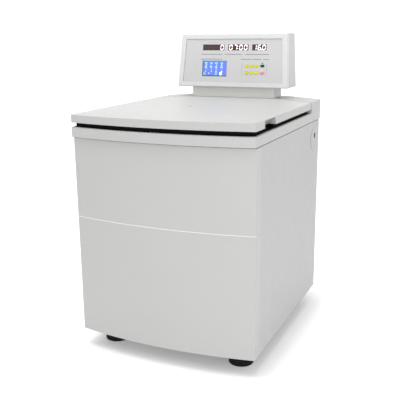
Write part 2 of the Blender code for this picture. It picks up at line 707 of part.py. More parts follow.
def drive():
    """Motor hung from a plate on three rubber mounts."""
    low, high = MOTOR_PLATE_Z
    plate = box("motor_plate", (-0.300, -0.345, low), (0.300, 0.240, high), "grey_paint")
    for label, near, far in (("left", -0.336, -0.290), ("right", 0.290, 0.336)):
        corners = ((near, -0.288, low + 0.0001), (far, 0.200, high - 0.0001))
        fuse(plate, box("plate_ear_" + label, *corners, group=CUTTERS))
    cut(plate, rod("plate_hole", (0, DRIVE_Y, low), 0.050, 0.05, group=CUTTERS))
    flange_low, flange_high = MOTOR_FLANGE_Z
    flange, can, bottom = 0.140, 0.108, 0.315
    body = [(0.030, 0.552), (0.060, 0.552), (0.062, flange_high), (flange, flange_high), (flange, flange_low),
            (can, flange_low), (can, bottom + 0.015), (can - 0.013, bottom), (0.018, bottom),
            (0.018, bottom + 0.015), (0.030, bottom + 0.030)]
    turned("drive_motor", body, (0, DRIVE_Y, 0), "grey_paint", steps=28)
    low, high = MOTOR_FLANGE_Z[1] + FIT_GAP, MOTOR_PLATE_Z[0] - FIT_GAP
    waist = (low + high) / 2
    circle, radius = 0.118, 0.018
    cushion = [(0, high), (radius, high), (radius - 0.004, waist), (radius, low), (0, low)]
    for i in range(3):
        turn = math.tau * i / 3 + math.pi / 2
        place = (circle * math.cos(turn), DRIVE_Y + circle * math.sin(turn), 0)
        turned("vibration_mount_{}".format(i + 1), cushion, place, "black_rubber", steps=16)


def rotor_group():
    """Shaft, fixed-angle rotor with bottle pockets, and the knob that holds it down."""
    spin = axis_empty("spindle_axis", (0, DRIVE_Y, 0))
    low, high = ROTOR_BOTTOM_Z, ROTOR_TOP_Z
    shaft_top, stud, shaft, flange = 0.806, 0.005, 0.014, 0.026
    shape = [(0, shaft_top), (stud, shaft_top), (stud, 0.740), (0.0085, 0.740), (shaft, 0.655),
             (shaft, 0.636), (flange, 0.636), (flange, 0.560), (0.024, 0.360), (0.016, 0.350), (0.016, 0.322),
             (0, 0.322)]
    ride_on(turned("drive_spindle", shape, (0, DRIVE_Y, 0), "zinc_steel", steps=20), spin)
    bore, socket, boss = stud + 0.0006, shaft + 0.0010, 0.030
    top, rim = ROTOR_TOP_RADIUS, ROTOR_MAX_RADIUS
    shape = [(bore, high + 0.004), (boss, high + 0.004), (boss + 0.006, high), (top - 0.006, high),
             (top, high - 0.004), (rim, low + 0.040), (rim, low + 0.018), (rim - 0.014, low), (socket, low),
             (socket, 0.6560), (0.0095, 0.7406), (bore, 0.7406)]
    rotor = turned("rotor", shape, (0, DRIVE_Y, 0), "aluminium", steps=30)
    bottle = [(0, 0.020), (BOTTLE_RADIUS, 0.020), (BOTTLE_RADIUS, 0.010 - BOTTLE_DEPTH),
              (BOTTLE_RADIUS - 0.010, -BOTTLE_DEPTH), (0, -BOTTLE_DEPTH)]
    middle = Matrix.Translation((0, DRIVE_Y, high))
    outwards = Matrix.Translation((BOTTLE_CIRCLE, 0, 0)) @ Matrix.Rotation(-BOTTLE_TILT, 4, "Y")
    for i in range(BOTTLE_COUNT):
        pocket = turned("bottle_pocket_{}".format(i + 1), bottle, (0, 0, 0), None, 14, CUTTERS)
        pocket.data.transform(middle @ Matrix.Rotation(math.tau * i / BOTTLE_COUNT, 4, "Z") @ outwards)
        cut(rotor, pocket)
    ride_on(rotor, spin)
    ride_on(rotor_knob(high + 0.0043, shaft_top + 0.0005, stud + 0.0004), spin)


def rotor_knob(seat, stud_top, bore):
    """Scalloped hand knob on the stud above the rotor."""
    grip, stem, top, low = 0.030, 0.016, 0.830, 0.808
    shape = [(0, top), (grip - 0.004, top), (grip, top - 0.004), (grip, low), (stem, low - 0.008),
             (stem, seat), (bore, seat), (bore, stud_top), (0, stud_top)]
    knob = turned("rotor_knob", shape, (0, DRIVE_Y, 0), "black_plastic", steps=24)
    scallops = 6
    circle = grip + 0.006
    for i in range(scallops):
        turn = math.tau * i / scallops
        place = (circle * math.cos(turn), DRIVE_Y + circle * math.sin(turn), (top + low) / 2)
        cut(knob, rod("knob_scallop_{}".format(i), place, 0.010, 0.06, sides=16, group=CUTTERS))
    return knob


# ---------------------------------------------------------------- cooling and electrics

def cooling():
    """Compressor, condenser, and the fan that blows through it."""
    shape = [(0, 0.285), (0.045, 0.280), (0.072, 0.262), (0.078, 0.235), (0.078, 0.125), (0.070, 0.105),
             (0.070, 0.0865), (0, 0.0865)]
    turned("compressor", shape, COMPRESSOR_PLACE, "black_plastic", steps=24)
    left, right, front = 0.010, 0.270, 0.345
    core = box("condenser", (left, front, 0.130), (right, front + 0.040, 0.440), "aluminium")
    for i in range(CONDENSER_ROWS):
        z = 0.146 + 0.036 * i
        row = box("condenser_row_{}".format(i), (left + 0.010, front - 0.005, z),
                  (right - 0.010, front + 0.011, z + 0.020), group=CUTTERS)
        cut(core, row)
    fan_frame()
    fan = rod("condenser_fan", FAN_HUB, 0.034, 0.020, "black_plastic", axis="Y")
    hub = Matrix.Translation(FAN_HUB)
    pitch = Matrix.Rotation(math.radians(24), 4, "X")
    for i in range(FAN_BLADES):
        blade = box("blade_{}".format(i), (0.026, -0.001, -0.026), (0.108, 0.001, 0.026), group=CUTTERS)
        blade.data.transform(hub @ Matrix.Rotation(math.tau * i / FAN_BLADES, 4, "Y") @ pitch)
        fuse(fan, blade)
    ride_on(fan, axis_empty("fan_axis", FAN_CENTRE))


def fan_frame():
    """Ring round the fan, with four struts behind it that hold its motor."""
    ring = rod("fan_frame", FAN_CENTRE, 0.122, 0.052, "black_plastic", axis="Y", sides=32)
    cut(ring, rod("fan_throat", FAN_CENTRE, 0.116, 0.07, axis="Y", sides=32, group=CUTTERS))
    back = Vector((FAN_CENTRE[0], FAN_CENTRE[1] + 0.020, FAN_CENTRE[2]))
    for i in range(4):
        turn = math.tau * i / 4 + math.pi / 4
        strut = box("fan_strut_{}".format(i), (0.010, -0.003, -0.004), (0.119, 0.003, 0.004), group=CUTTERS)
        strut.data.transform(Matrix.Translation(back) @ Matrix.Rotation(turn, 4, "Y"))
        fuse(ring, strut)
    fuse(ring, rod("fan_motor_can", back - Vector((0, 0.006, 0)), 0.032, 0.022, axis="Y", group=CUTTERS))


def electrics():
    """Motor inverter, mains gland and mains rocker."""
    inverter = box("drive_inverter", (-0.290, -0.270, 0.0865), (-0.150, -0.060, 0.330), "grey_paint")
    edge = inverter.modifiers.new("edge", "BEVEL")
    edge.width = 0.004
    edge.segments = 2
    bore, thread, nut = 0.0055, 0.0145, 0.019
    shape = [(bore, -0.0085), (0.014, -0.0085), (nut, -0.005), (nut, -FIT_GAP), (thread, -FIT_GAP),
             (thread, 0.016), (bore, 0.016)]
    turned("mains_gland", shape[::-1], (SUPPLY_X, BODY_REAR_Y, GLAND_Z), "black_plastic", steps=20, axis="Y")
    mains_switch()


def switch_box(name, half_x, y, half_z, finish=None, group=CUTTERS):
    """Box about the middle of the mains switch, with y measured from the rear sheet."""
    low = (SUPPLY_X - half_x, BODY_REAR_Y + y[0], SWITCH_Z - half_z)
    high = (SUPPLY_X + half_x, BODY_REAR_Y + y[1], SWITCH_Z + half_z)
    return box(name, low, high, finish, group)


def mains_switch():
    """Rocker in its snap-in frame."""
    frame = switch_box("switch_frame", 0.0145, (-0.0180, 0.0015), 0.0195, "black_plastic", PARTS)
    fuse(frame, switch_box("switch_lip", 0.018, (FIT_GAP, 0.003), 0.023))
    cut(frame, switch_box("switch_well", 0.011, (-0.015, 0.010), 0.016))
    outline = [(0.0000, 0.0140), (0.0045, 0.0135), (0.0010, 0.0000), (-0.0010, -0.0138), (-0.0060, -0.0138),
               (-0.0060, 0.0130)]
    rocker = prism("mains_rocker", outline, -0.0100, 0.0100, "black_plastic", axis="X")
    rocker.location = (SUPPLY_X, BODY_REAR_Y + 0.0005, SWITCH_Z)


def lid_release():
    """Round cover on the right side with the plug that frees the lid by hand."""
    outer = HALF_WIDTH - BODY_INSET
    place = (outer + 0.0008, *RELEASE_PLACE)
    cover = rod("release_cover", place, RELEASE_RADIUS, 0.0010, "white_paint", axis="X", sides=32)
    for name, plate in (("cover", cover), ("panel", bpy.data.objects["side_panel_right"])):
        radius = RELEASE_KEY_RADIUS + RELEASE_KEY_GAP
        place = (outer, *RELEASE_KEY_PLACE)
        cut(plate, rod(name + "_key_hole", place, radius, 0.03, axis="X", sides=20, group=CUTTERS))
    key = rod("release_key", (0, 0, 0), RELEASE_KEY_RADIUS, 0.0115, "black_plastic", axis="X", sides=20)
    cut(key, box("key_slot", (0.004, -0.0015, -0.008), (0.009, 0.0015, 0.008), group=CUTTERS))
    baked(key)
    key.location = (outer - 0.0045, *RELEASE_KEY_PLACE)


# ---------------------------------------------------------------- control head

def neck():
    """Hollow pedestal between rear block and head."""
    low = LID_EDGE_Z + CROWN_RISE + FIT_GAP
    high = HEAD_BOTTOM_Z - FIT_GAP
    radius = 0.014

    def ring(inset, corner):
        left, right = -NECK_HALF_WIDTH + inset, NECK_HALF_WIDTH - inset
        front, rear = NECK_Y[0] + inset, NECK_Y[1] - inset
        points = corner_arc((left + corner, front + corner), corner, 180, 270)
        points += corner_arc((right - corner, front + corner), corner, 270, 360)
        return points + [(right, rear), (left, rear)]

    body = prism("neck", ring(0, radius), low, high, "warm_white")
    hollow = prism("neck_hollow", ring(MOULDING, radius - MOULDING), low - 0.01, high + 0.01, group=CUTTERS)
    return cut(body, hollow)


def head_form(name, inset, finish=None, group=PARTS):
    """Head envelope: narrower at the top, front leaning back."""
    form = box(name, (-1, 0, 0), (1, 1, 1), finish, group)
    for point in form.data.vertices:
        x, y, z = point.co
        half = (HEAD_HALF_TOP if z > 0.5 else HEAD_HALF_BOTTOM) - inset
        front = (HEAD_FRONT_TOP_Y if z > 0.5 else HEAD_FRONT_BOTTOM_Y) + inset
        rear = (HEAD_REAR_TOP_Y if z > 0.5 else HEAD_REAR_BOTTOM_Y) - inset
        height = HEAD_TOP_Z - inset if z > 0.5 else HEAD_BOTTOM_Z + inset
        point.co = (half * x, rear if y > 0.5 else front, height)
    return form


def face_frame():
    """Matrix whose x, y and z run across, into and up the head's leaning front."""
    lean = math.atan2(HEAD_FRONT_TOP_Y - HEAD_FRONT_BOTTOM_Y, HEAD_TOP_Z - HEAD_BOTTOM_Z)
    return Matrix.Translation((0, HEAD_FRONT_BOTTOM_Y, HEAD_BOTTOM_Z)) @ Matrix.Rotation(-lean, 4, "X")


def face_box(name, u, depth, v, finish=None, group=PARTS):
    item = box(name, (u[0], depth[0], v[0]), (u[1], depth[1], v[1]), finish, group)
    item.data.transform(face_frame())
    return item


def face_half(v):
    """Half width of the face panel at a height on the leaning front."""
    share = (v - FACE_V[0]) / (FACE_V[1] - FACE_V[0])
    return FACE_HALF_BOTTOM + (FACE_HALF_TOP - FACE_HALF_BOTTOM) * share


def face_sheet(name, grow, depth, finish=None, group=PARTS):
    """Plate in the outline of the face panel, made larger or smaller all round."""
    low, high = FACE_V[0] - grow, FACE_V[1] + grow
    points = [(-face_half(low) - grow, low), (face_half(low) + grow, low), (face_half(high) + grow, high),
              (-face_half(high) - grow, high)]
    item = prism(name, points, depth[0], depth[1], finish, axis="Y", group=group)
    item.data.transform(face_frame())
    return item


def key_outline(u, v, grow):
    """Stadium outline of a key."""
    radius = KEY_HALF[1] + grow
    reach = KEY_HALF[0] - KEY_HALF[1]
    return corner_arc((u + reach, v), radius, -90, 90, 6) + corner_arc((u - reach, v), radius, 90, 270, 6)


def key_places():
    """Name, finish and place of each key."""
    places = []
    for row, v in enumerate(KEY_ROWS):
        for column, u in enumerate(KEY_COLUMNS):
            places.append(("key_{}_{}".format(row + 1, column + 1), "yellow_key", u, v))
    places.append(("key_start", "green_key", START_STOP_U, KEY_ROWS[0]))
    places.append(("key_stop", "red_key", START_STOP_U, KEY_ROWS[1]))
    return places


def head_housing():
    """Front bezel, with the recess for the face panel, and hollow rear shell."""
    bezel = head_form("head_bezel", 0, "white_paint")
    front_slab = face_box("front_slab", (-0.4, 0.4), (-0.1, BEZEL_DEPTH), (-0.2, 0.5), group=CUTTERS)
    combine(bezel, [front_slab], "INTERSECT")
    recess_depth = FACE_RECESS + FACE_THICKNESS + FIT_GAP
    cut(bezel, face_sheet("face_recess", 0.0004, (-0.01, recess_depth), group=CUTTERS))
    cut(bezel, face_sheet("face_opening", -0.008, (-0.01, 0.1), group=CUTTERS))
    shell = head_form("head_shell", 0, "white_paint")
    rear_slab = face_box("rear_slab", (-0.4, 0.4), (BEZEL_DEPTH + FIT_GAP, 0.4), (-0.2, 0.5), group=CUTTERS)
    combine(shell, [rear_slab], "INTERSECT")
    cut(shell, head_form("head_hollow", HEAD_WALL, group=CUTTERS))
    duct = box("head_duct", (-0.060, NECK_Y[0] + 0.030, HEAD_BOTTOM_Z - 0.01),
               (0.060, NECK_Y[1] - 0.020, HEAD_BOTTOM_Z + 0.01), group=CUTTERS)
    cut(shell, duct)


def display(name, finish, u, v, plate):
    """Display block behind its window in the face panel."""
    depth = (FACE_RECESS + 0.0004, FACE_RECESS + 0.0004 + DISPLAY_DEPTH)
    face_box(name, (u[0] + FIT_GAP, u[1] - FIT_GAP), depth, (v[0] + FIT_GAP, v[1] - FIT_GAP), finish)
    cut(plate, face_box(name + "_window", u, (-0.01, 0.01), v, group=CUTTERS))


def head():
    """Housing, face panel, displays, keys and circuit board."""
    head_housing()
    plate = face_sheet("face_panel", 0, (FACE_RECESS, FACE_RECESS + FACE_THICKNESS), "face_film")
    for name, u in LED_WINDOWS.items():
        display(name, "smoked_window", u, LED_V, plate)
    display("lcd_screen", "blue_display", LCD_U, LCD_V, plate)
    for name, finish, u, v in key_places():
        key = prism(name, key_outline(0, 0, 0), FACE_RECESS - 0.0016, FACE_RECESS + 0.0050, finish, axis="Y")
        key.matrix_world = face_frame() @ Matrix.Translation((u, 0, v))
        hole = prism(name + "_hole", key_outline(u, v, KEY_GAP), -0.01, 0.01, axis="Y", group=CUTTERS)
        hole.data.transform(face_frame())
        cut(plate, hole)
    face_box("control_board", (-0.190, 0.190), (0.0120, 0.0136), (0.034, 0.186), "board_green")


def main():
    start_scene()
    chassis_frame()
    feet()
    front_panel("front_lower_panel", BODY_BOTTOM_Z, PANEL_SEAM_Z - PANEL_SEAM_GAP / 2)
    front_panel("front_upper_panel", PANEL_SEAM_Z + PANEL_SEAM_GAP / 2, PANEL_TOP_Z)
    side_panel("side_panel_left", -1)
    side_panel("side_panel_right", 1)
    rear_panel()
    deck_frame()
    hinge = axis_empty("lid_axis", (0, HINGE_Y, HINGE_Z))
    lid_shell(hinge)
    lid_liner(hinge)
    lid_sight_glass(hinge)
    lid_striker(hinge)
    lid_hinge(hinge)
    latch()
    chamber()
    evaporator_coil()
    drive()
    rotor_group()
    cooling()
    electrics()
    lid_release()
    neck()
    head()


main()
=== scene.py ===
"""Looks of the laboratory centrifuge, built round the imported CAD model."""
import json
import math

import bmesh
import bpy
from mathutils import Matrix, Vector


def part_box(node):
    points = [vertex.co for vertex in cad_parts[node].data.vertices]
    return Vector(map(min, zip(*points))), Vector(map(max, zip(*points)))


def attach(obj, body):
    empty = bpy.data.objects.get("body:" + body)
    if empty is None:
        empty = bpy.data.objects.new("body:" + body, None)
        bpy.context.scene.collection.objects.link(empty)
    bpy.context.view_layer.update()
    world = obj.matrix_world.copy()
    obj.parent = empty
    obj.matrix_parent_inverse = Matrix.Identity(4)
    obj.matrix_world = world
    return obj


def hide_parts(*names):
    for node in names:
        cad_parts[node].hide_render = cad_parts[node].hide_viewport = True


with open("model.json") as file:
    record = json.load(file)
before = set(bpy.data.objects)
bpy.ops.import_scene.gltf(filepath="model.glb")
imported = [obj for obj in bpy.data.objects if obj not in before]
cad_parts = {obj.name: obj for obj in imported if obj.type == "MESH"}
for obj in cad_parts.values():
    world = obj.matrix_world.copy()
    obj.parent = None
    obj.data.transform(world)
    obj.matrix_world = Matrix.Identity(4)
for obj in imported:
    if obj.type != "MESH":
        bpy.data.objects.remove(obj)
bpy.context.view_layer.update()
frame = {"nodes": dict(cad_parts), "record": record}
SLOTS = {entry["node"]: entry["material_slot"] for entry in frame["record"]["subparts"]}

# Dimensions in metres, most of them shared with the CAD model
HALF_WIDTH = 0.350
REAR_Y = 0.420
FRONT_CORNER_Y = -0.384
FRONT_BOW = 0.036
LID_EDGE_Z = 0.8915
CROWN_RISE = 0.010
CROWN_BAND = 0.139
PLATEAU_Y = FRONT_CORNER_Y + 0.105
LID_BOTTOM_Z = 0.864
LID_REAR_Y = 0.274
BLOCK_FRONT_Y = 0.282
DECK_BOTTOM_Z = 0.812
DECK_TOP_Z = 0.848
MOUTH_RADIUS = 0.247
DRIVE_Y = -0.058
DRIVE = (0, DRIVE_Y, 0)
COMPRESSOR_PLACE = (-0.185, 0.245)
GRIP_Y = (-0.299, -0.193)
GRIP_DEPTH = 0.028
GRIP_FLARE = 0.012
PANEL_SETBACK = 0.013
BODY_INSET = 0.002
PANEL_WRAP = 0.040
PANEL_PROUD = 0.0014
PANEL_CORNER = 0.005
TOP_CORNER = 0.008
WALL = 0.003
PORT = (-0.020, -0.080)
STRIKER_Y = -0.361
WELD = 0.00002

SLOT_HEIGHT = 0.012
SLOT_PITCH = 0.032
LOUVRES = {"louvre": (9, 0.150, (0.000, 0.280)), "vent": (5, 0.600, (-0.240, 0.240))}

# Leaning front of the control head
HEAD_BOTTOM_Z = 0.9435
HEAD_TOP_Z = 1.163
HEAD_FRONT_BOTTOM_Y = 0.281
HEAD_FRONT_TOP_Y = 0.310
HEAD_REAR_BOTTOM_Y = 0.407
HEAD_REAR_TOP_Y = 0.411
HEAD_HALF_BOTTOM = 0.247
HEAD_HALF_TOP = 0.235
BEZEL_DEPTH = 0.024
HEAD_ROUND = 0.0045
FACE_HALF_BOTTOM = 0.224
FACE_HALF_TOP = 0.213
FACE_V = (0.021, 0.1995)
FACE_RECESS = 0.003
MARK_WIDTHS = (0.0052, 0.0034, 0.0046, 0.0028)
MARK_GAP = 0.0009
PRINT_DEPTH = (FACE_RECESS - 0.0002, FACE_RECESS - 0.00003)
FILM_SURFACE = FACE_RECESS + 0.0004
FILM_DEPTH = (FILM_SURFACE - 0.00025, FILM_SURFACE - 0.00005)
LED_V = (0.1527, 0.1774)
LED_WINDOWS = {"speed_display": (-0.136, -0.038), "time_display": (-0.021, 0.0695),
               "temperature_display": (0.0855, 0.148)}
LCD_U = (-0.135, -0.0235)
LCD_V = (0.045, 0.1105)
KEY_COLUMNS = (0.065, 0.087, 0.109)
KEY_ROWS = (0.090, 0.061)
START_STOP_U = 0.134
FIGURE_WIDTH = 0.0150
FIGURE_HEIGHT = 0.0222
FIGURE_THICK = 0.0034
FIGURE_LEAN = 0.08
KEY_HALF = (0.0085, 0.0050)
NECK_HALF_WIDTH = 0.188
NECK_Y = (0.299, 0.387)


# ---------------------------------------------------------------- materials

class Finish:
    """Small builder for a procedural Principled material."""

    def __init__(self, name, colour, roughness, metallic=0.0, **sockets):
        self.material = bpy.data.materials.new(name)
        self.material.use_nodes = True
        self.tree = self.material.node_tree
        self.shader = self.tree.nodes["Principled BSDF"]
        self.colour = (*colour, 1.0)
        self.set("Base Color", self.colour)
        self.set("Roughness", roughness)
        self.set("Metallic", metallic)
        for socket, value in sockets.items():
            self.set(socket.replace("_", " "), value)

    def set(self, socket, value):
        self.shader.inputs[socket].default_value = value

    def node(self, kind, **values):
        made = self.tree.nodes.new(kind)
        for key, value in values.items():
            socket = key.replace("_", " ")
            if socket in made.inputs:
                made.inputs[socket].default_value = value
            else:
                setattr(made, key, value)
        return made

    def link(self, source, target):
        self.tree.links.new(source, target)

    def place(self, scale=(1, 1, 1)):
        where = self.node("ShaderNodeTexCoord")
        shift = self.node("ShaderNodeMapping", Scale=scale)
        self.link(where.outputs["Object"], shift.inputs["Vector"])
        return shift.outputs["Vector"]

    def noise(self, size, detail=3.0, rough=0.5, stretch=(1, 1, 1)):
        made = self.node("ShaderNodeTexNoise", Scale=1.0 / size, Detail=detail, Roughness=rough)
        self.link(self.place(stretch), made.inputs["Vector"])
        return made.outputs["Fac"]

    def cells(self, size):
        made = self.node("ShaderNodeTexVoronoi", Scale=1.0 / size)
        self.link(self.place(), made.inputs["Vector"])
        return made.outputs["Distance"]

    def spread(self, source, low, high, start=0.3, end=0.7):
        made = self.node("ShaderNodeMapRange", From_Min=start, From_Max=end, To_Min=low, To_Max=high)
        self.link(source, made.inputs["Value"])
        return made.outputs["Result"]

    def mottle(self, source, dark, light, start=0.3, end=0.7):
        """Vary the base colour between a darker and a lighter shade of itself."""
        made = self.node("ShaderNodeMix", data_type="RGBA")
        for socket, factor in (("A", dark), ("B", light)):
            made.inputs[socket].default_value = (*shade(self.colour[:3], factor), 1.0)
        self.link(self.spread(source, 0.0, 1.0, start, end), made.inputs["Factor"])
        self.link(made.outputs["Result"], self.shader.inputs["Base Color"])

    def vary_roughness(self, source, low, high):
        self.link(self.spread(source, low, high), self.shader.inputs["Roughness"])

    def bump(self, source, height, strength=1.0, before=None):
        made = self.node("ShaderNodeBump", Strength=strength, Distance=height)
        self.link(source, made.inputs["Height"])
        if before:
            self.link(before, made.inputs["Normal"])
        self.link(made.outputs["Normal"], self.shader.inputs["Normal"])
        return made.outputs["Normal"]


def shade(colour, factor):
    return tuple(min(1.0, channel * factor) for channel in colour)


def powder_coat(name, colour, roughness=0.42):
    """Sprayed powder paint: faint orange peel, soft mottling, slight roughness change."""
    made = Finish(name, colour, roughness)
    made.mottle(made.noise(0.30, 2.0), 0.992, 1.008)
    made.vary_roughness(made.noise(0.05, 3.0), roughness - 0.03, roughness + 0.03)
    peel = made.bump(made.noise(0.0022, 2.0), 0.00003, 0.5)
    made.bump(made.noise(0.0006, 1.0), 0.00001, 0.3, peel)
    return made.material


def moulded(name, colour, roughness, grain=0.0009, height=0.00004, gloss=0.4):
    """Moulded plastic with a fine spark-eroded texture."""
    made = Finish(name, colour, roughness, 0.0, Specular_IOR_Level=gloss)
    made.bump(made.cells(grain), height, 0.4)
    made.mottle(made.noise(0.06), 0.92, 1.08)
    made.vary_roughness(made.noise(0.01), roughness - 0.05, roughness + 0.08)
    return made.material


def rubber(name, colour):
    """Matt rubber with dust in its pores."""
    made = Finish(name, colour, 0.75, 0.0, Specular_IOR_Level=0.25)
    made.mottle(made.noise(0.012, 4.0), 1.0, 2.2, 0.45, 0.8)
    made.vary_roughness(made.noise(0.004), 0.65, 0.85)
    made.bump(made.noise(0.0008), 0.00005, 0.5)
    return made.material


def brushed(name, colour, roughness, stretch=(1, 1, 40), size=0.02):
    """Brushed or ground metal: streaks along one direction."""
    made = Finish(name, colour, roughness, 1.0)
    streak = made.noise(size, 4.0, 0.6, stretch)
    made.vary_roughness(streak, roughness - 0.08, roughness + 0.10)
    made.mottle(streak, 0.94, 1.05)
    made.bump(streak, 0.00002, 0.3)
    return made.material


def spun(name, colour, roughness):
    """Turned metal: fine rings round the drive axis."""
    made = Finish(name, colour, roughness, 1.0)
    shift = made.node("ShaderNodeVectorMath", operation="SUBTRACT")
    made.link(made.node("ShaderNodeTexCoord").outputs["Object"], shift.inputs[0])
    shift.inputs[1].default_value = DRIVE
    flat = made.node("ShaderNodeVectorMath", operation="MULTIPLY")
    made.link(shift.outputs["Vector"], flat.inputs[0])
    flat.inputs[1].default_value = (1, 1, 0)
    reach = made.node("ShaderNodeVectorMath", operation="LENGTH")
    made.link(flat.outputs["Vector"], reach.inputs[0])
    split = made.node("ShaderNodeSeparateXYZ")
    made.link(shift.outputs["Vector"], split.inputs["Vector"])
    ring = made.node("ShaderNodeCombineXYZ")
    made.link(reach.outputs["Value"], ring.inputs["X"])
    made.link(split.outputs["Z"], ring.inputs["Z"])
    lines = made.node("ShaderNodeTexNoise", Scale=420.0, Detail=3.0)
    made.link(ring.outputs["Vector"], lines.inputs["Vector"])
    made.vary_roughness(lines.outputs["Fac"], roughness - 0.05, roughness + 0.07)
    made.mottle(lines.outputs["Fac"], 0.95, 1.04)
    made.bump(lines.outputs["Fac"], 0.00001, 0.3)
    return made.material


def cast(name, colour, roughness, metallic=0.0):
    """Painted or bare casting with a pebbled surface."""
    made = Finish(name, colour, roughness, metallic)
    made.mottle(made.noise(0.03, 4.0), 0.85, 1.1)
    made.vary_roughness(made.noise(0.008), roughness - 0.06, roughness + 0.08)
    made.bump(made.noise(0.002, 3.0), 0.0002, 0.4)
    return made.material


def foam_finish(name, colour):
    """Open foam with small cells."""
    made = Finish(name, colour, 0.95)
    made.bump(made.cells(0.002), 0.0006, 0.7)
    made.mottle(made.noise(0.05), 0.9, 1.08)
    return made.material


def lit(name, colour, strength, glow):
    """Light-emitting segment or backlit film."""
    made = Finish(name, colour, 0.3)
    made.set("Emission Color", (*glow, 1.0))
    made.set("Emission Strength", strength)
    made.vary_roughness(made.noise(0.003), 0.25, 0.35)
    return made.material


def smoked(name, colour):
    """Smoked display window, a little reddish, with a soft polish."""
    made = Finish(name, colour, 0.22, 0.0, Specular_IOR_Level=0.4)
    made.mottle(made.noise(0.02), 0.9, 1.2)
    made.vary_roughness(made.noise(0.006), 0.18, 0.28)
    return made.material


def printed_film(name, colour):
    """Matt polyester film of the face panel."""
    made = Finish(name, colour, 0.5)
    made.mottle(made.noise(0.08), 0.985, 1.01)
    made.vary_roughness(made.noise(0.004), 0.45, 0.56)
    made.bump(made.noise(0.0005, 1.0), 0.00001, 0.3)
    return made.material


def clear(name):
    """Clear glass with a faint tint."""
    made = Finish(name, (0.85, 0.90, 0.90), 0.06, 0.0, IOR=1.49, Transmission_Weight=0.85)
    made.vary_roughness(made.noise(0.01), 0.04, 0.10)
    return made.material


def frosted(name):
    """Frosted glass over a dark hole."""
    made = Finish(name, (0.26, 0.27, 0.27), 0.35)
    made.vary_roughness(made.noise(0.002), 0.30, 0.45)
    made.bump(made.noise(0.0008), 0.00003, 0.4)
    return made.material


FROSTED_GLASS = frosted("frosted_glass")
COATS = {
    "white_paint": powder_coat("white_powder_coat", (0.386, 0.386, 0.381)),
    "warm_white": powder_coat("warm_neck_coat", (0.565, 0.56, 0.545)),
    "face_film": printed_film("face_film", (0.453, 0.453, 0.459)),
    "black_rubber": rubber("black_rubber", (0.003, 0.003, 0.004)),
    "black_plastic": moulded("black_plastic", (0.010, 0.010, 0.012), 0.6),
    "grey_paint": powder_coat("grey_chassis_coat", (0.28, 0.29, 0.30), 0.5),
    "motor_casting": cast("motor_casting", (0.22, 0.23, 0.24), 0.55),
    "inverter_case": moulded("inverter_case", (0.40, 0.41, 0.42), 0.5),
    "black_enamel": cast("black_enamel", (0.015, 0.015, 0.015), 0.3),
    "stainless": brushed("stainless_steel", (0.62, 0.62, 0.61), 0.28),
    "zinc_steel": brushed("zinc_plated_steel", (0.58, 0.58, 0.55), 0.38, (1, 8, 1), 0.01),
    "dark_steel": cast("armour_steel", (0.16, 0.16, 0.17), 0.45, 1.0),
    "aluminium": brushed("anodised_aluminium", (0.52, 0.53, 0.55), 0.33, (1, 1, 30), 0.012),
    "copper": brushed("copper_tube", (0.70, 0.36, 0.22), 0.32, (1, 1, 10), 0.01),
    "foam": foam_finish("foam", (0.80, 0.72, 0.50)),
    "smoked_window": smoked("smoked_window", (0.035, 0.014, 0.012)),
    "blue_display": lit("blue_display", (0.04, 0.06, 0.28), 1.0, (0.095, 0.165, 0.56)),
    "yellow_key": moulded("yellow_key", (0.57, 0.55, 0.0), 0.6, 0.0012, 0.00002, 0.1),
    "green_key": moulded("green_key", (0.004, 0.062, 0.038), 0.6, 0.0012, 0.00002, 0.15),
    "red_key": moulded("red_key", (0.62, 0.20, 0.40), 0.6, 0.0012, 0.00002, 0.15),
    "board_green": moulded("board_green", (0.02, 0.16, 0.07), 0.4, 0.002, 0.00002),
    "clear_glass": clear("sight_glass"),
}
# Painted shade: a slightly darker copy of the white powder coat for the side panels and the release cover on
# them
SIDE_SHADED_COAT = powder_coat("side_coat_painted_shade", (0.364, 0.364, 0.364))
# Painted shade: the head's rear shell, with its sides and top, is a darker copy of the bezel's white
HEAD_SHADED_COAT = powder_coat("head_coat_painted_shade", (0.440, 0.440, 0.440))
BEZEL_COAT = powder_coat("bezel_powder_coat", (0.520, 0.520, 0.520))
SPUN_STEEL = spun("spun_steel", (0.58, 0.58, 0.57), 0.30)
SPUN_ALUMINIUM = spun("turned_aluminium", (0.34, 0.35, 0.37), 0.34)
# Black plastic of the lid's liner; the same black also makes the strip on the deck under the lid's edge,
# painted shade in the gap
LINER_AND_GAP_SHADE_COAT = moulded("lid_pan_plastic_and_gap_shade", (0.004, 0.004, 0.005), 0.9, 0.0015, 0.0001, 0.08)
# Painted highlight: a lighter copy of the white paint for the bead along the seam between the front panels
SEAM_HIGHLIGHT_COAT = powder_coat("seam_bead_painted_highlight", (0.58, 0.58, 0.575), 0.35)
# Painted shade: a dark grey for the finger scoops, which lie in shadow under the lid's edge
GRIP_SCOOP_SHADE_COAT = moulded("grip_scoop_painted_shade", (0.20, 0.195, 0.19), 0.6)
DIGIT_GLOW = lit("digit_glow", (0.9, 0.8, 0.82), 0.9, (1.0, 0.80, 0.86))
DIGIT_DIM = smoked("digit_dim", (0.060, 0.030, 0.028))
LCD_CYAN = lit("lcd_cyan", (0.3, 0.8, 0.9), 1.0, (0.28, 0.98, 1.0))
LCD_WHITE = lit("lcd_white", (0.9, 0.9, 0.8), 1.0, (1.0, 0.95, 0.82))
LCD_GREEN = lit("lcd_green", (0.08, 0.45, 0.22), 0.8, (0.14, 0.60, 0.30))
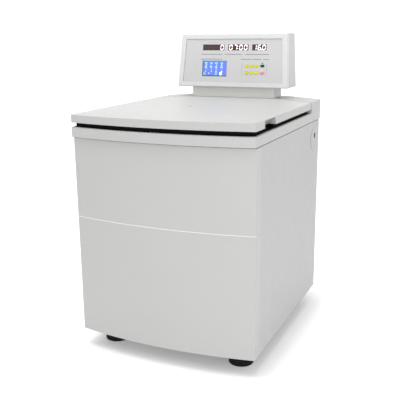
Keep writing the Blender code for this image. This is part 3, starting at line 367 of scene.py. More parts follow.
# Painted shade: darker strips along the left and low sides of the blue display
LCD_PAINTED_SHADE = smoked("lcd_edge", (0.022, 0.024, 0.16))
LCD_RIM = smoked("lcd_rim", (0.17, 0.20, 0.38))
PRINT_GREY = printed_film("print_grey", (0.12, 0.12, 0.12))
PRINT_LIGHT = printed_film("print_light", (0.26, 0.26, 0.25))
PRINT_AMBER = printed_film("print_amber", (0.95, 0.66, 0.10))


# ---------------------------------------------------------------- mesh helpers

def add_object(name, data):
    item = bpy.data.objects.new(name, data)
    bpy.context.scene.collection.objects.link(item)
    return item


def new_object(name, mesh, coat=None):
    """Object in one coat, given as a material or by the name of its slot."""
    item = add_object(name, mesh)
    if coat:
        mesh.materials.append(COATS.get(coat, coat))
    return item


def from_bmesh(name, work, coat=None, weld=WELD):
    bmesh.ops.remove_doubles(work, verts=work.verts, dist=weld)
    bmesh.ops.recalc_face_normals(work, faces=work.faces)
    mesh = bpy.data.meshes.new(name)
    work.to_mesh(mesh)
    work.free()
    return new_object(name, mesh, coat)


def add_block(work, size, centre):
    made = bmesh.ops.create_cube(work, size=1.0)["verts"]
    bmesh.ops.scale(work, vec=size, verts=made)
    bmesh.ops.translate(work, vec=centre, verts=made)
    return made


def add_slab(work, points, rise):
    """Flat outline raised along one vector."""
    face = work.faces.new([work.verts.new(point) for point in points])
    grown = bmesh.ops.extrude_face_region(work, geom=[face])
    raised = [part for part in grown["geom"] if isinstance(part, bmesh.types.BMVert)]
    bmesh.ops.translate(work, vec=rise, verts=raised)


def add_skin(work, rings):
    """Closed solid over rings that have the same number of points."""
    made = [[work.verts.new(point) for point in ring] for ring in rings]
    for lower, upper in zip(made, made[1:]):
        for i in range(len(lower)):
            j = (i + 1) % len(lower)
            work.faces.new((lower[i], lower[j], upper[j], upper[i]))
    work.faces.new(made[0][::-1])
    work.faces.new(made[-1])


def blocks(name, corners, coat=None, weld=WELD):
    """One mesh of blocks, each given by its low and its high corner."""
    work = bmesh.new()
    for low, high in corners:
        low, high = Vector(low), Vector(high)
        add_block(work, high - low, (low + high) / 2)
    return from_bmesh(name, work, coat, weld)


def box(name, low, high, coat=None):
    return blocks(name, [(low, high)], coat)


def rod(name, centre, radius, length, sides=48):
    """Upright round cutter."""
    work = bmesh.new()
    bmesh.ops.create_cone(work, cap_ends=True, segments=sides, radius1=radius, radius2=radius, depth=length,
                          matrix=Matrix.Translation(centre))
    return from_bmesh(name, work)


def prism(name, points, low, high, coat=None, axis="Z"):
    """Outline extruded along Z, along Y from (x, z), or along X from (y, z)."""
    order = {"Z": lambda a, b, c: (a, b, c), "Y": lambda a, b, c: (a, c, b),
             "X": lambda a, b, c: (c, a, b)}[axis]
    work = bmesh.new()
    add_slab(work, [order(a, b, low) for a, b in points], order(0, 0, high - low))
    return from_bmesh(name, work, coat)


def turned(name, profile, centre, coat=None, steps=96):
    """Profile of (radius, height) points turned about the upright line through centre."""
    work = bmesh.new()
    points = [work.verts.new((r, 0, z)) for r, z in profile]
    edges = [work.edges.new(pair) for pair in zip(points, points[1:])]
    if profile[0][0] > 0:
        edges.append(work.edges.new((points[-1], points[0])))
    bmesh.ops.spin(work, geom=points + edges, cent=(0, 0, 0), axis=(0, 0, 1), dvec=(0, 0, 0), angle=math.tau,
                   steps=steps, use_merge=True)
    bmesh.ops.remove_doubles(work, verts=work.verts, dist=WELD)
    bmesh.ops.translate(work, vec=centre, verts=work.verts)
    return soften(from_bmesh(name, work, coat))


def baked(item):
    """Mesh of an object as its modifiers or its curve settings make it."""
    bpy.context.view_layer.update()
    seen = item.evaluated_get(bpy.context.evaluated_depsgraph_get())
    return bpy.data.meshes.new_from_object(seen)


def tube(name, line, radius, resolution, coat):
    """Round tube that follows a line of points."""
    curve = bpy.data.curves.new(name, "CURVE")
    curve.dimensions = "3D"
    curve.bevel_depth = radius
    curve.bevel_resolution = resolution
    curve.use_fill_caps = True
    path = curve.splines.new("POLY")
    path.points.add(len(line) - 1)
    for point, place in zip(path.points, line):
        point.co = (*place, 1)
    guide = add_object(name + "_guide", curve)
    mesh = baked(guide)
    bpy.data.objects.remove(guide, do_unlink=True)
    mesh.materials.clear()
    mesh.shade_smooth()
    return new_object(name, mesh, coat)


def apply_modifiers(item):
    mesh = baked(item)
    item.modifiers.clear()
    item.data = mesh
    return item


def combine(item, others, operation):
    for other in others:
        step = item.modifiers.new(other.name, "BOOLEAN")
        step.operation = operation
        step.object = other
        step.solver = "EXACT"
        apply_modifiers(item)
        bpy.data.objects.remove(other, do_unlink=True)
    return item


def cut(item, *others):
    return combine(item, others, "DIFFERENCE")


def fuse(item, *others):
    return combine(item, others, "UNION")


def soften(item, angle=35):
    item.data.shade_smooth()
    item.data.set_sharp_from_angle(angle=math.radians(angle))
    return item


def round_edges(item, width, segments=3, angle=28):
    """Round the crisp edges, then shade smooth with the flat faces kept flat."""
    bevel = item.modifiers.new("round", "BEVEL")
    bevel.width = width
    bevel.segments = segments
    bevel.limit_method = "ANGLE"
    bevel.angle_limit = math.radians(angle)
    bevel.miter_outer = "MITER_ARC"
    bevel.use_clamp_overlap = True
    weld = item.modifiers.new("weld", "WELD")
    weld.merge_threshold = 0.00003
    apply_modifiers(item)
    soften(item, 50)
    normal = item.modifiers.new("weighted", "WEIGHTED_NORMAL")
    normal.keep_sharp = True
    normal.weight = 100
    return apply_modifiers(item)


def stand_for(item, body, *nodes):
    """Ride on a body and take the place of CAD nodes."""
    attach(item, body)
    for node in nodes:
        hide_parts(node)
    return item


# ---------------------------------------------------------------- outlines

def bowed_y(x, corner_y, half):
    radius = (half * half + FRONT_BOW * FRONT_BOW) / (2 * FRONT_BOW)
    return corner_y - FRONT_BOW + radius - math.sqrt(radius * radius - x * x)


def around(radius, turn, z):
    """Place at one radius from the drive axis."""
    return (radius * math.cos(turn), DRIVE_Y + radius * math.sin(turn), z)


def corner_arc(centre, radius, start, end, steps=8):
    points = []
    for i in range(steps + 1):
        turn = math.radians(start + (end - start) * i / steps)
        points.append((centre[0] + radius * math.cos(turn), centre[1] + radius * math.sin(turn)))
    return points


def front_line(half, corner_y, radius):
    steps = 48
    inner = half - radius
    start_y = bowed_y(inner, corner_y, half)
    line = corner_arc((-inner, start_y + radius), radius, 180, 258)
    for i in range(1, steps):
        x = -inner + 2 * inner * i / steps
        line.append((x, bowed_y(x, corner_y, half)))
    return line + corner_arc((inner, start_y + radius), radius, 282, 360)


def top_outline(inset=0.0, rear=REAR_Y):
    half = HALF_WIDTH - inset
    line = front_line(half, FRONT_CORNER_Y + inset, max(TOP_CORNER - inset, 0.002))
    return line + [(half, rear), (-half, rear)]


def crown_section(inset, drop, low):
    half = HALF_WIDTH - inset
    flat = HALF_WIDTH - CROWN_BAND
    edge = LID_EDGE_Z - drop + CROWN_RISE * inset / CROWN_BAND
    top = LID_EDGE_Z + CROWN_RISE - drop
    return [(-half, low), (half, low), (half, edge), (flat, top), (-flat, top), (-half, edge)]


def crowned(name, inset, drop, low, rear, coat=None):
    """Lid form: straight skirt and a shallow hipped top."""
    outline = top_outline(inset, rear)
    flat_x = HALF_WIDTH - CROWN_BAND
    edge = LID_EDGE_Z - drop + CROWN_RISE * inset / CROWN_BAND
    top = LID_EDGE_Z + CROWN_RISE - drop
    work = bmesh.new()
    add_skin(work, [
        [(x, y, low) for x, y in outline],
        [(x, y, edge) for x, y in outline],
        [(max(-flat_x, min(flat_x, x)), rear if y == rear else PLATEAU_Y, top) for x, y in outline]])
    bmesh.ops.remove_doubles(work, verts=work.verts, dist=0.0001)
    return from_bmesh(name, work, coat)


def stacked(name, rings, coat=None):
    work = bmesh.new()
    add_skin(work, rings)
    return from_bmesh(name, work, coat)


def grip_wedge(name, side, grow):
    out = side * (HALF_WIDTH + 0.004)
    deep = side * (HALF_WIDTH - GRIP_DEPTH - grow)
    top = LID_EDGE_Z - 0.002 + grow
    points = [(out, top), (out, LID_BOTTOM_Z - 0.02), (deep, LID_BOTTOM_Z - 0.02), (deep, LID_BOTTOM_Z),
              (side * (HALF_WIDTH - grow), top)]
    wedge = prism(name, points, GRIP_Y[0] - grow, GRIP_Y[1] + grow, axis="Y")
    for point in wedge.data.vertices:
        if point.co.y > sum(GRIP_Y) / 2:
            point.co.y += GRIP_FLARE * (top - point.co.z) / (LID_EDGE_Z - LID_BOTTOM_Z)
    return wedge


# ---------------------------------------------------------------- lid and deck

def lid():
    shell = crowned("lid_cover", 0, 0, LID_BOTTOM_Z, LID_REAR_Y, "white_paint")
    hollow = crowned("lid_hollow", 0.0125, WALL, LID_BOTTOM_Z - 0.01, LID_REAR_Y - 0.0125)
    cut(hollow, grip_wedge("wall_left", -1, WALL), grip_wedge("wall_right", 1, WALL))
    cut(shell, hollow, grip_wedge("grip_left", -1, 0), grip_wedge("grip_right", 1, 0))
    cut(shell, rod("port_hole", (*PORT, LID_EDGE_Z + CROWN_RISE), 0.0085, 0.02))
    round_edges(shell, 0.0022, 3)
    # Scoop faces that point outward and down take the dark grey of painted shade
    shell.data.materials.append(GRIP_SCOOP_SHADE_COAT)
    for face in shell.data.polygons:
        along = GRIP_Y[0] < face.center.y < GRIP_Y[1] + GRIP_FLARE
        if along and abs(face.normal.x) > 0.4 and face.normal.z < -0.2:
            face.material_index = 1
    stand_for(shell, "lid", "lid_shell")


def deck():
    roll = 0.006
    levels = [(0.0, DECK_BOTTOM_Z)]
    for i in range(7):
        turn = math.radians(15 * i)
        levels.append((roll * (1 - math.cos(turn)), DECK_TOP_Z - roll * (1 - math.sin(turn))))
    rings = [[(x, y, z) for x, y in top_outline(inset)] for inset, z in levels]
    body = stacked("deck_cover", rings, "white_paint")
    block = prism("block", crown_section(0, 0, DECK_TOP_Z - 0.01), BLOCK_FRONT_Y, REAR_Y - 0.00005, axis="Y")
    fuse(body, block)
    hollow = prism("deck_hollow", top_outline(WALL, REAR_Y - WALL), DECK_BOTTOM_Z - 0.01, DECK_TOP_Z - WALL)
    section = crown_section(WALL, WALL, DECK_TOP_Z - 0.02)
    inner = prism("block_hollow", section, BLOCK_FRONT_Y + WALL, REAR_Y - WALL, axis="Y")
    cut(body, hollow, inner)
    cut(body, rod("mouth", (0, DRIVE_Y, DECK_TOP_Z), MOUTH_RADIUS, 0.05, sides=128))
    below, above = DECK_TOP_Z - 0.01, DECK_TOP_Z + 0.01
    cut(body, box("slot", (-0.012, STRIKER_Y - 0.020, below), (0.012, STRIKER_Y + 0.014, above)))
    stand_for(round_edges(body, 0.0034, 5), "cabinet", "deck_frame")
    # Black strip on the deck's top round the lid's edge: painted shade that darkens the gap under the lid
    outer, inner = top_outline(0.0095), top_outline(0.0300)
    rear = BLOCK_FRONT_Y - 0.0010
    outer = [(x, min(y, rear)) for x, y in outer]
    inner = [(x, min(y, rear + 0.01)) for x, y in inner]
    strip = prism("under_lid_shade_strip", outer, DECK_TOP_Z + 0.0001, DECK_TOP_Z + 0.0016, LINER_AND_GAP_SHADE_COAT)
    cut(strip, prism("strip_hollow", inner, below, above))
    cut(strip, box("slot", (-0.020, STRIKER_Y - 0.060, below), (0.020, STRIKER_Y + 0.02, above)))
    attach(round_edges(strip, 0.0006, 2), "cabinet")


def front_panel(name, node, low, high):
    """Bowed front sheet with rolled edges, wrapped round both corners."""
    half = HALF_WIDTH - BODY_INSET + PANEL_PROUD
    corner_y = FRONT_CORNER_Y + PANEL_SETBACK
    wrap = corner_y + PANEL_WRAP
    fold = 0.008
    outer = [(-half, wrap)] + front_line(half, corner_y, PANEL_CORNER) + [(half, wrap)]
    inner = [(-half + fold, wrap)] + front_line(half - fold, corner_y + fold, 0.002) + [(half - fold, wrap)]
    panel = prism(name, outer + inner[::-1], low, high, "white_paint")
    stand_for(round_edges(panel, 0.0010, 2), "cabinet", node)


def front_panels():
    lower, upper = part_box("front_lower_panel"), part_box("front_upper_panel")
    seam = (lower[1][2] + upper[0][2]) / 2
    front_panel("front_panel_lower", "front_lower_panel", lower[0][2], seam + 0.0004)
    front_panel("front_panel_upper", "front_upper_panel", seam + 0.0006, upper[1][2])
    # The seam bead is coloured lighter than the panels, a painted highlight along the seam
    strip = front_line(HALF_WIDTH - 0.0021, FRONT_CORNER_Y + PANEL_SETBACK + 0.0006, PANEL_CORNER)
    bead = tube("front_seam_bead", [(x, y, seam) for x, y in strip], 0.0020, 3, SEAM_HIGHLIGHT_COAT)
    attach(bead, "cabinet")


def rounded_copy(node, body, width, coat=None, segments=2, angle=28):
    """CAD node made again with its edges rounded, or with its own edges where width is 0."""
    source = frame["nodes"][node]
    copy = new_object(node + "_fine", source.data.copy())
    copy.data.materials.clear()
    copy.data.materials.append(coat or COATS[SLOTS[node]])
    if not width:
        return stand_for(copy, body, node)
    work = bmesh.new()
    work.from_mesh(copy.data)
    bmesh.ops.remove_doubles(work, verts=work.verts, dist=0.00001)
    bmesh.ops.dissolve_limit(work, angle_limit=math.radians(0.5), verts=work.verts, edges=work.edges)
    work.to_mesh(copy.data)
    work.free()
    round_edges(copy, width, segments, angle)
    return stand_for(copy, body, node)


def screw(name, place, normal, body, radius=0.0042, coat="zinc_steel"):
    """Domed screw with a cross recess, seated on a surface."""
    rise = 0.0016
    dome = [(0, rise)]
    for i in range(1, 6):
        turn = math.radians(90 - 15 * i)
        dome.append((radius * math.cos(turn), rise * math.sin(turn)))
    dome += [(radius, -0.0008), (0, -0.0008)]
    head = turned(name, dome, (0, 0, 0), coat, 24)
    for across in ((0.0022, 0.0005), (0.0005, 0.0022)):
        cut(head, box("recess", (-across[0], -across[1], 0.0008), (across[0], across[1], 0.003)))
    head.data.transform(Vector(normal).to_track_quat("Z", "Y").to_matrix().to_4x4())
    head.data.transform(Matrix.Translation(place))
    soften(head)
    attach(head, body)
    return head


def screws(name, places, normal, body, radius=0.0042):
    """A row of screws as one piece of hardware each."""
    for number, place in enumerate(places):
        screw("{}_{}".format(name, number + 1), place, normal, body, radius)


# ---------------------------------------------------------------- sides and rear

def side_panels():
    for side, label in ((-1, "left"), (1, "right")):
        node = "side_panel_" + label
        # Side panels take the darker copy of the white paint, painted shade
        rounded_copy(node, "cabinet", 0.0012, SIDE_SHADED_COAT, segments=3)
        low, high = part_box(node)
        x = side * (HALF_WIDTH - BODY_INSET)
        places = [(x, y, low[2] + 0.014) for y in (low[1] + 0.030, (low[1] + high[1]) / 2, high[1] - 0.030)]
        screws("side_screw_" + label, places, (side, 0, 0), "cabinet")


def rear_panel():
    """Rear sheet with pressed louvre hoods over its slots and a border of screws."""
    rounded_copy("rear_panel", "cabinet", 0)
    low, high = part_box("rear_panel")
    rear = high[1]
    for name, (count, first_z, span) in LOUVRES.items():
        for i in range(count):
            z = first_z + SLOT_PITCH * i + SLOT_HEIGHT
            arc = corner_arc((rear, z - 0.009), 0.0085, 0, 90, 6)
            hood = [(y, h + 0.0015) for y, h in arc] + [(rear, z - 0.0012)]
            hood += [(y - 0.0012, h) for y, h in arc[::-1] if y - 0.0012 > rear]
            pressed = prism("{}_hood_{}".format(name, i + 1), hood, span[0] + 0.001, span[1] - 0.001,
                            "white_paint", axis="X")
            round_edges(pressed, 0.0003, 1)
            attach(pressed, "cabinet")
    edge = 0.014
    bottom, top = low[2] + edge, high[2] - edge
    places = [(x, rear, z) for x in (low[0] + edge, high[0] - edge) for z in (bottom, 0.300, 0.540, top)]
    places += [(x, rear, z) for x in (-0.115, 0.115) for z in (bottom, top)]
    screws("rear_screw", places, (0, 1, 0), "cabinet")
    plate_low = Vector((-0.315, rear + 0.0001, 0.330))
    plate = box("rating_plate", plate_low, plate_low + Vector((0.090, 0.0008, 0.055)), "aluminium")
    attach(round_edges(plate, 0.0003, 1), "cabinet")
    rules = []
    for number in range(4):
        z = plate_low.z + 0.010 + 0.011 * number
        rules.append(((plate_low.x + 0.006, rear + 0.0008, z),
                      (plate_low.x + 0.084, rear + 0.0010, z + 0.0006)))
    plates("rating_rules", rules, "cabinet", PRINT_GREY)


def feet():
    """Ribbed rubber feet."""
    for end in ("front", "rear"):
        for side in ("left", "right"):
            node = "foot_{}_{}".format(end, side)
            low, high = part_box(node)
            place = ((low[0] + high[0]) / 2, (low[1] + high[1]) / 2, 0)
            radius = (high[0] - low[0]) / 2
            shape = [(0, high[2]), (0.012, high[2]), (0.012, 0.0565), (0.032, 0.0515), (0.0345, 0.0495)]
            shape += [(radius - 0.0035, 0.0285), (radius - 0.0008, 0.0240), (radius, 0.0215)]
            for groove in (0.0185, 0.0135):
                shape += [(radius, groove), (radius - 0.0012, groove - 0.0008),
                          (radius - 0.0012, groove - 0.0018), (radius, groove - 0.0026)]
            shape += corner_arc((radius - 0.005, 0.005), 0.005, 0, -90, 5) + [(0, 0)]
            foot = turned(node + "_fine", shape, place, "black_rubber", 72)
            stand_for(foot, "cabinet", node)


def supply():
    """Mains inlet gland with two screws, and the rocker switch with its frame."""
    low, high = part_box("mains_gland")
    middle = Vector(((low[0] + high[0]) / 2, 0, (low[2] + high[2]) / 2))
    rounded_copy("mains_gland", "cabinet", 0.0006, angle=25)
    rounded_copy("switch_frame", "cabinet", 0.0009, segments=3)
    rounded_copy("mains_rocker", "rocker", 0.0008, segments=3)
    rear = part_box("rear_panel")[1][1]
    for number in (0, 2):
        turn = math.tau * (number + 0.5) / 4
        place = (middle.x + 0.030 * math.cos(turn), rear, middle.z + 0.030 * math.sin(turn))
        screw("gland_screw_{}".format(number + 1), place, (0, 1, 0), "cabinet", 0.003)


def release():
    """Hand release: thin round cover with its screw, and slotted plug."""
    # The release cover takes the side's darker copy of the white paint, painted shade
    rounded_copy("release_cover", "cabinet", 0.0004, SIDE_SHADED_COAT, angle=40)
    rounded_copy("release_key", "release", 0.0008, segments=3, angle=40)
    low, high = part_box("release_cover")
    middle_y, middle_z = (low[1] + high[1]) / 2, (low[2] + high[2]) / 2
    place = (high[0] - 0.0010, middle_y + 0.004, middle_z - 0.030)
    screw("release_screw", place, (1, 0, 0), "cabinet", 0.0034, "dark_steel")


# ---------------------------------------------------------------- control head

def face_frame():
    lean = math.atan2(HEAD_FRONT_TOP_Y - HEAD_FRONT_BOTTOM_Y, HEAD_TOP_Z - HEAD_BOTTOM_Z)
    return Matrix.Translation((0, HEAD_FRONT_BOTTOM_Y, HEAD_BOTTOM_Z)) @ Matrix.Rotation(-lean, 4, "X")


def on_face(item):
    item.data.transform(face_frame())
    return item


def face_box(name, u, depth, v, coat=None):
    return on_face(box(name, (u[0], depth[0], v[0]), (u[1], depth[1], v[1]), coat))


def face_half(v):
    share = (v - FACE_V[0]) / (FACE_V[1] - FACE_V[0])
    return FACE_HALF_BOTTOM + (FACE_HALF_TOP - FACE_HALF_BOTTOM) * share


def face_sheet(name, grow, depth, coat=None):
    low, high = FACE_V[0] - grow, FACE_V[1] + grow
    points = [(-face_half(low) - grow, low), (face_half(low) + grow, low), (face_half(high) + grow, high),
              (-face_half(high) - grow, high)]
    return on_face(prism(name, points, depth[0], depth[1], coat, axis="Y"))


def head_form(name, inset, coat=None):
    form = box(name, (-1, 0, 0), (1, 1, 1), coat)
    for point in form.data.vertices:
        x, y, z = point.co
        half = (HEAD_HALF_TOP if z > 0.5 else HEAD_HALF_BOTTOM) - inset
        front = (HEAD_FRONT_TOP_Y if z > 0.5 else HEAD_FRONT_BOTTOM_Y) + inset
        rear = (HEAD_REAR_TOP_Y if z > 0.5 else HEAD_REAR_BOTTOM_Y) - inset
        height = HEAD_TOP_Z - inset if z > 0.5 else HEAD_BOTTOM_Z + inset
        point.co = (half * x, rear if y > 0.5 else front, height)
    return form


def head_housing():
    """Moulded front bezel with the recess for the face panel, and the rear shell."""
    bezel = head_form("head_front", 0, BEZEL_COAT)
    round_edges(bezel, HEAD_ROUND, 5)
    combine(bezel, [face_box("front_slab", (-0.4, 0.4), (-0.1, BEZEL_DEPTH), (-0.2, 0.5))], "INTERSECT")
    recess = face_sheet("recess", 0.0004, (-0.01, FACE_RECESS + 0.0023))
    cut(bezel, recess, face_sheet("opening", -0.008, (-0.01, 0.1)))
    stand_for(round_edges(bezel, 0.0007, 2, 40), "cabinet", "head_bezel")
    # The shell takes the darker copy of the white, painted shade on the head's sides and top
    shell = head_form("head_back", 0, HEAD_SHADED_COAT)
    round_edges(shell, HEAD_ROUND, 5)
    slab = face_box("rear_slab", (-0.4, 0.4), (BEZEL_DEPTH + 0.0003, 0.4), (-0.2, 0.5))
    combine(shell, [slab], "INTERSECT")
    cut(shell, head_form("hollow", WALL))
    for side in (-1, 1):
        for i in range(6):
            x = side * (0.060 + 0.022 * i)
            cut(shell, prism("vent", stadium(x, 1.050, 0.0035, 0.0030, 6), 0.395, 0.420, axis="Y"))
    stand_for(round_edges(shell, 0.0006, 2, 40), "cabinet", "head_shell")
    rear_y = (HEAD_REAR_BOTTOM_Y + HEAD_REAR_TOP_Y) / 2
    places = [(x, rear_y + side * 0.0015, 1.0533 + side * 0.090) for x in (-0.215, 0.215) for side in (-1, 1)]
    screws("head_screw", places, (0, 1, 0), "cabinet", 0.0036)


def neck():
    low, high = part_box("neck")

    def ring(inset, corner):
        left, right = -NECK_HALF_WIDTH + inset, NECK_HALF_WIDTH - inset
        front, rear = NECK_Y[0] + inset, NECK_Y[1] - inset
        points = corner_arc((left + corner, front + corner), corner, 180, 270, 10)
        points += corner_arc((right - corner, front + corner), corner, 270, 360, 10)
        return points + [(right, rear), (left, rear)]

    body = prism("neck_cover", ring(0, 0.014), low[2], high[2], "warm_white")
    cut(body, prism("neck_hollow", ring(WALL, 0.011), low[2] - 0.01, high[2] + 0.01))
    stand_for(round_edges(body, 0.0006, 2, 40), "cabinet", "neck")


def stadium(u, v, half_u, half_v, steps=12):
    reach = half_u - half_v
    right_end = corner_arc((u + reach, v), half_v, -90, 90, steps)
    return right_end + corner_arc((u - reach, v), half_v, 90, 270, steps)


def key_places():
    places = []
    for row, v in enumerate(KEY_ROWS):
        for column, u in enumerate(KEY_COLUMNS):
            places.append(("key_{}_{}".format(row + 1, column + 1), "yellow_key", u, v))
    places.append(("key_start", "green_key", START_STOP_U, KEY_ROWS[0]))
    places.append(("key_stop", "red_key", START_STOP_U, KEY_ROWS[1]))
    return places


def face():
    depth = (FACE_RECESS, FACE_RECESS + 0.002)
    plate = face_sheet("face_plate", 0, depth, "face_film")
    for u in LED_WINDOWS.values():
        cut(plate, face_box("window", u, (-0.01, 0.02), LED_V))
    cut(plate, face_box("window", LCD_U, (-0.01, 0.02), LCD_V))
    for name, finish, u, v in key_places():
        outline = stadium(u, v, KEY_HALF[0] + 0.0006, KEY_HALF[1] + 0.0006)
        cut(plate, on_face(prism("hole", outline, -0.01, 0.02, axis="Y")))
        key = prism(name + "_cap", stadium(u, v, *KEY_HALF), FACE_RECESS - 0.0016, FACE_RECESS + 0.005,
                    COATS[finish], axis="Y")
        round_edges(key, 0.0008, 3)
        on_face(key)
        stand_for(key, name + "_cap", name)
    soften(plate, 20)
    stand_for(plate, "cabinet", "face_panel")


SEGMENTS = {"0": "abcdef", "1": "bc", "2": "abged", "3": "abgcd", "4": "fgbc", "5": "afgcd", "6": "afgedc",
            "7": "abc", "8": "abcdefg", "9": "abcdfg"}


def segment_outline(which, width, height, thick):
    """Six-sided bar of a seven-segment digit, in a box from (0, 0) to (width, height)."""
    half = thick / 2
    gap = thick * 0.12
    middle = height / 2

    def flat(v):
        near, far = half * 2 + gap, width - half * 2 - gap
        return [(half + gap, v), (near, v + half), (far, v + half), (width - half - gap, v), (far, v - half),
                (near, v - half)]

    def tall(u, low, high):
        return [(u, low + gap), (u + half, low + half + gap), (u + half, high - half - gap), (u, high - gap),
                (u - half, high - half - gap), (u - half, low + half + gap)]

    top, left, right = height - half, half, width - half
    spans = {"a": flat(top), "g": flat(middle), "d": flat(half), "f": tall(left, middle, top),
             "b": tall(right, middle, top), "e": tall(left, half, middle), "c": tall(right, half, middle)}
    return spans[which]


def glyph(work, outline, u, v, lean, depth):
    """Thin raised shape on the face plane."""
    points = [(u + a + lean * b, depth[0], v + b) for a, b in outline]
    add_slab(work, points, (0, depth[1] - depth[0], 0))


def mount(name, work, coat):
    """Set a group of glyphs on the leaning front as one piece."""
    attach(on_face(from_bmesh(name, work, coat)), "cabinet")


def oblong(width, height):
    return [(0, 0), (width, 0), (width, height), (0, height)]


def write_number(work, text, u, v, width, height, pitch, thick, lean, depth):
    """Seven-segment figures, with points and colons, from left to right."""
    for mark in text:
        if mark == " ":
            u += pitch
            continue
        if mark in ".:":
            spots = (0.0,) if mark == "." else (height * 0.25, height * 0.65)
            for spot in spots:
                glyph(work, oblong(thick, thick), u - (pitch - width) / 2 - thick / 2, v + spot, lean, depth)
            u += thick if mark == ":" else 0
            continue
        for which in SEGMENTS[mark]:
            glyph(work, segment_outline(which, width, height, thick), u, v, lean, depth)
        u += pitch


def displays():
    """Lit figures on the three windows, over the dark segments of every figure."""
    readings = {"speed_display": "00000", "time_display": "07:00", "temperature_display": "16.0"}
    pitches = {"speed_display": 0.0188, "time_display": 0.0208, "temperature_display": 0.0198}
    for node, text in readings.items():
        u = LED_WINDOWS[node]
        pitch = pitches[node]
        count = len(text.replace(".", "").replace(":", ""))
        extra = FIGURE_THICK if ":" in text else 0.0
        start = (u[0] + u[1]) / 2 - (count * pitch + extra) / 2 + 0.0018
        low = LED_V[0] + (LED_V[1] - LED_V[0] - FIGURE_HEIGHT) / 2
        shown = "    0" if node == "speed_display" else text
        behind = (FILM_DEPTH[1], FILM_DEPTH[1] + 0.00003)
        for label, figures, depth, coat in (("_figures", shown, FILM_DEPTH, DIGIT_GLOW),
                                            ("_segments", "8" * count, behind, DIGIT_DIM)):
            work = bmesh.new()
            write_number(work, figures, start, low, FIGURE_WIDTH, FIGURE_HEIGHT, pitch, FIGURE_THICK,
                         FIGURE_LEAN, depth)
            mount(node + label, work, coat)


def lcd_text(work, text, u, v, size, depth):
    write_number(work, text, u, v, size * 0.80, size, size * 1.00, size * 0.26, 0.0, depth)


def lcd_graphics():
    """Settings in four columns, bars and a rim on the blue display."""
    columns = (0.0165, 0.0405, 0.0635, 0.0880)
    rows = (("lcd_symbols", "5525", 0.0522, 0.0058, LCD_CYAN),
            ("lcd_limits", "0818", 0.0447, 0.0036, LCD_WHITE),
            ("lcd_values", "6586", 0.0357, 0.0056, LCD_CYAN),
            ("lcd_steps", "1147", 0.0283, 0.0042, LCD_WHITE),
            ("lcd_units", "8735", 0.0192, 0.0036, LCD_WHITE))
    for name, text, v, size, coat in rows:
        work = bmesh.new()
        for column, centre in enumerate(columns):
            pair = text[column] + text[(column + 1) % 4]
            lcd_text(work, pair, LCD_U[0] + centre - 0.9 * size, LCD_V[0] + v, size, FILM_DEPTH)
        mount(name, work, coat)
    fields = (("lcd_start_field", 0.0055, 0.0090, LCD_GREEN), ("lcd_run_field", 0.0590, 0.0085, LCD_GREEN),
              ("lcd_page_field", 0.0790, 0.0115, LCD_WHITE), ("lcd_step_field", 0.0290, 0.0036, LCD_WHITE))
    for name, at, width, coat in fields:
        work = bmesh.new()
        u = LCD_U[0] + at
        for bar in range(3 if width > 0.004 else 1):
            low = (0.0055 if width > 0.004 else 0.0115) + 0.0042 * bar
            outline = [(0, low), (width, low), (width, low + 0.0018), (width - 0.0008, low + 0.0026),
                       (0, low + 0.0026)]
            glyph(work, outline, u, LCD_V[0], 0.0, FILM_DEPTH)
        mount(name, work, coat)
    # The wider strips on the left and low sides are darker, painted shade; the rim strips on the right and
    # high sides are lighter
    rim, shadow = 0.0020, 0.0034
    inner_u = (LCD_U[0] + shadow, LCD_U[1] - rim)
    inner_v = (LCD_V[0] + shadow, LCD_V[1] - rim)
    edges = (("left", (LCD_U[0], inner_u[0]), LCD_V, LCD_PAINTED_SHADE),
             ("right", (inner_u[1], LCD_U[1]), LCD_V, LCD_RIM),
             ("low", inner_u, (LCD_V[0], inner_v[0]), LCD_PAINTED_SHADE),
             ("high", inner_u, (inner_v[1], LCD_V[1]), LCD_RIM))
    for name, u, v, coat in edges:
        strip = face_box("lcd_edge_" + name, u, (FACE_RECESS - 0.0002, FACE_RECESS + 0.0003), v, coat)
        round_edges(strip, 0.00015, 1)
        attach(strip, "cabinet")


def dashes(name, u, v, height, coat):
    """Row of short printed marks from one u to another."""
    work = bmesh.new()
    at, number = u[0], 0
    while at < u[1]:
        width = min(MARK_WIDTHS[number % len(MARK_WIDTHS)], u[1] - at)
        glyph(work, oblong(width, height), at, v - height / 2, 0.0, PRINT_DEPTH)
        at += width + MARK_GAP
        number += 1
    mount(name, work, coat)


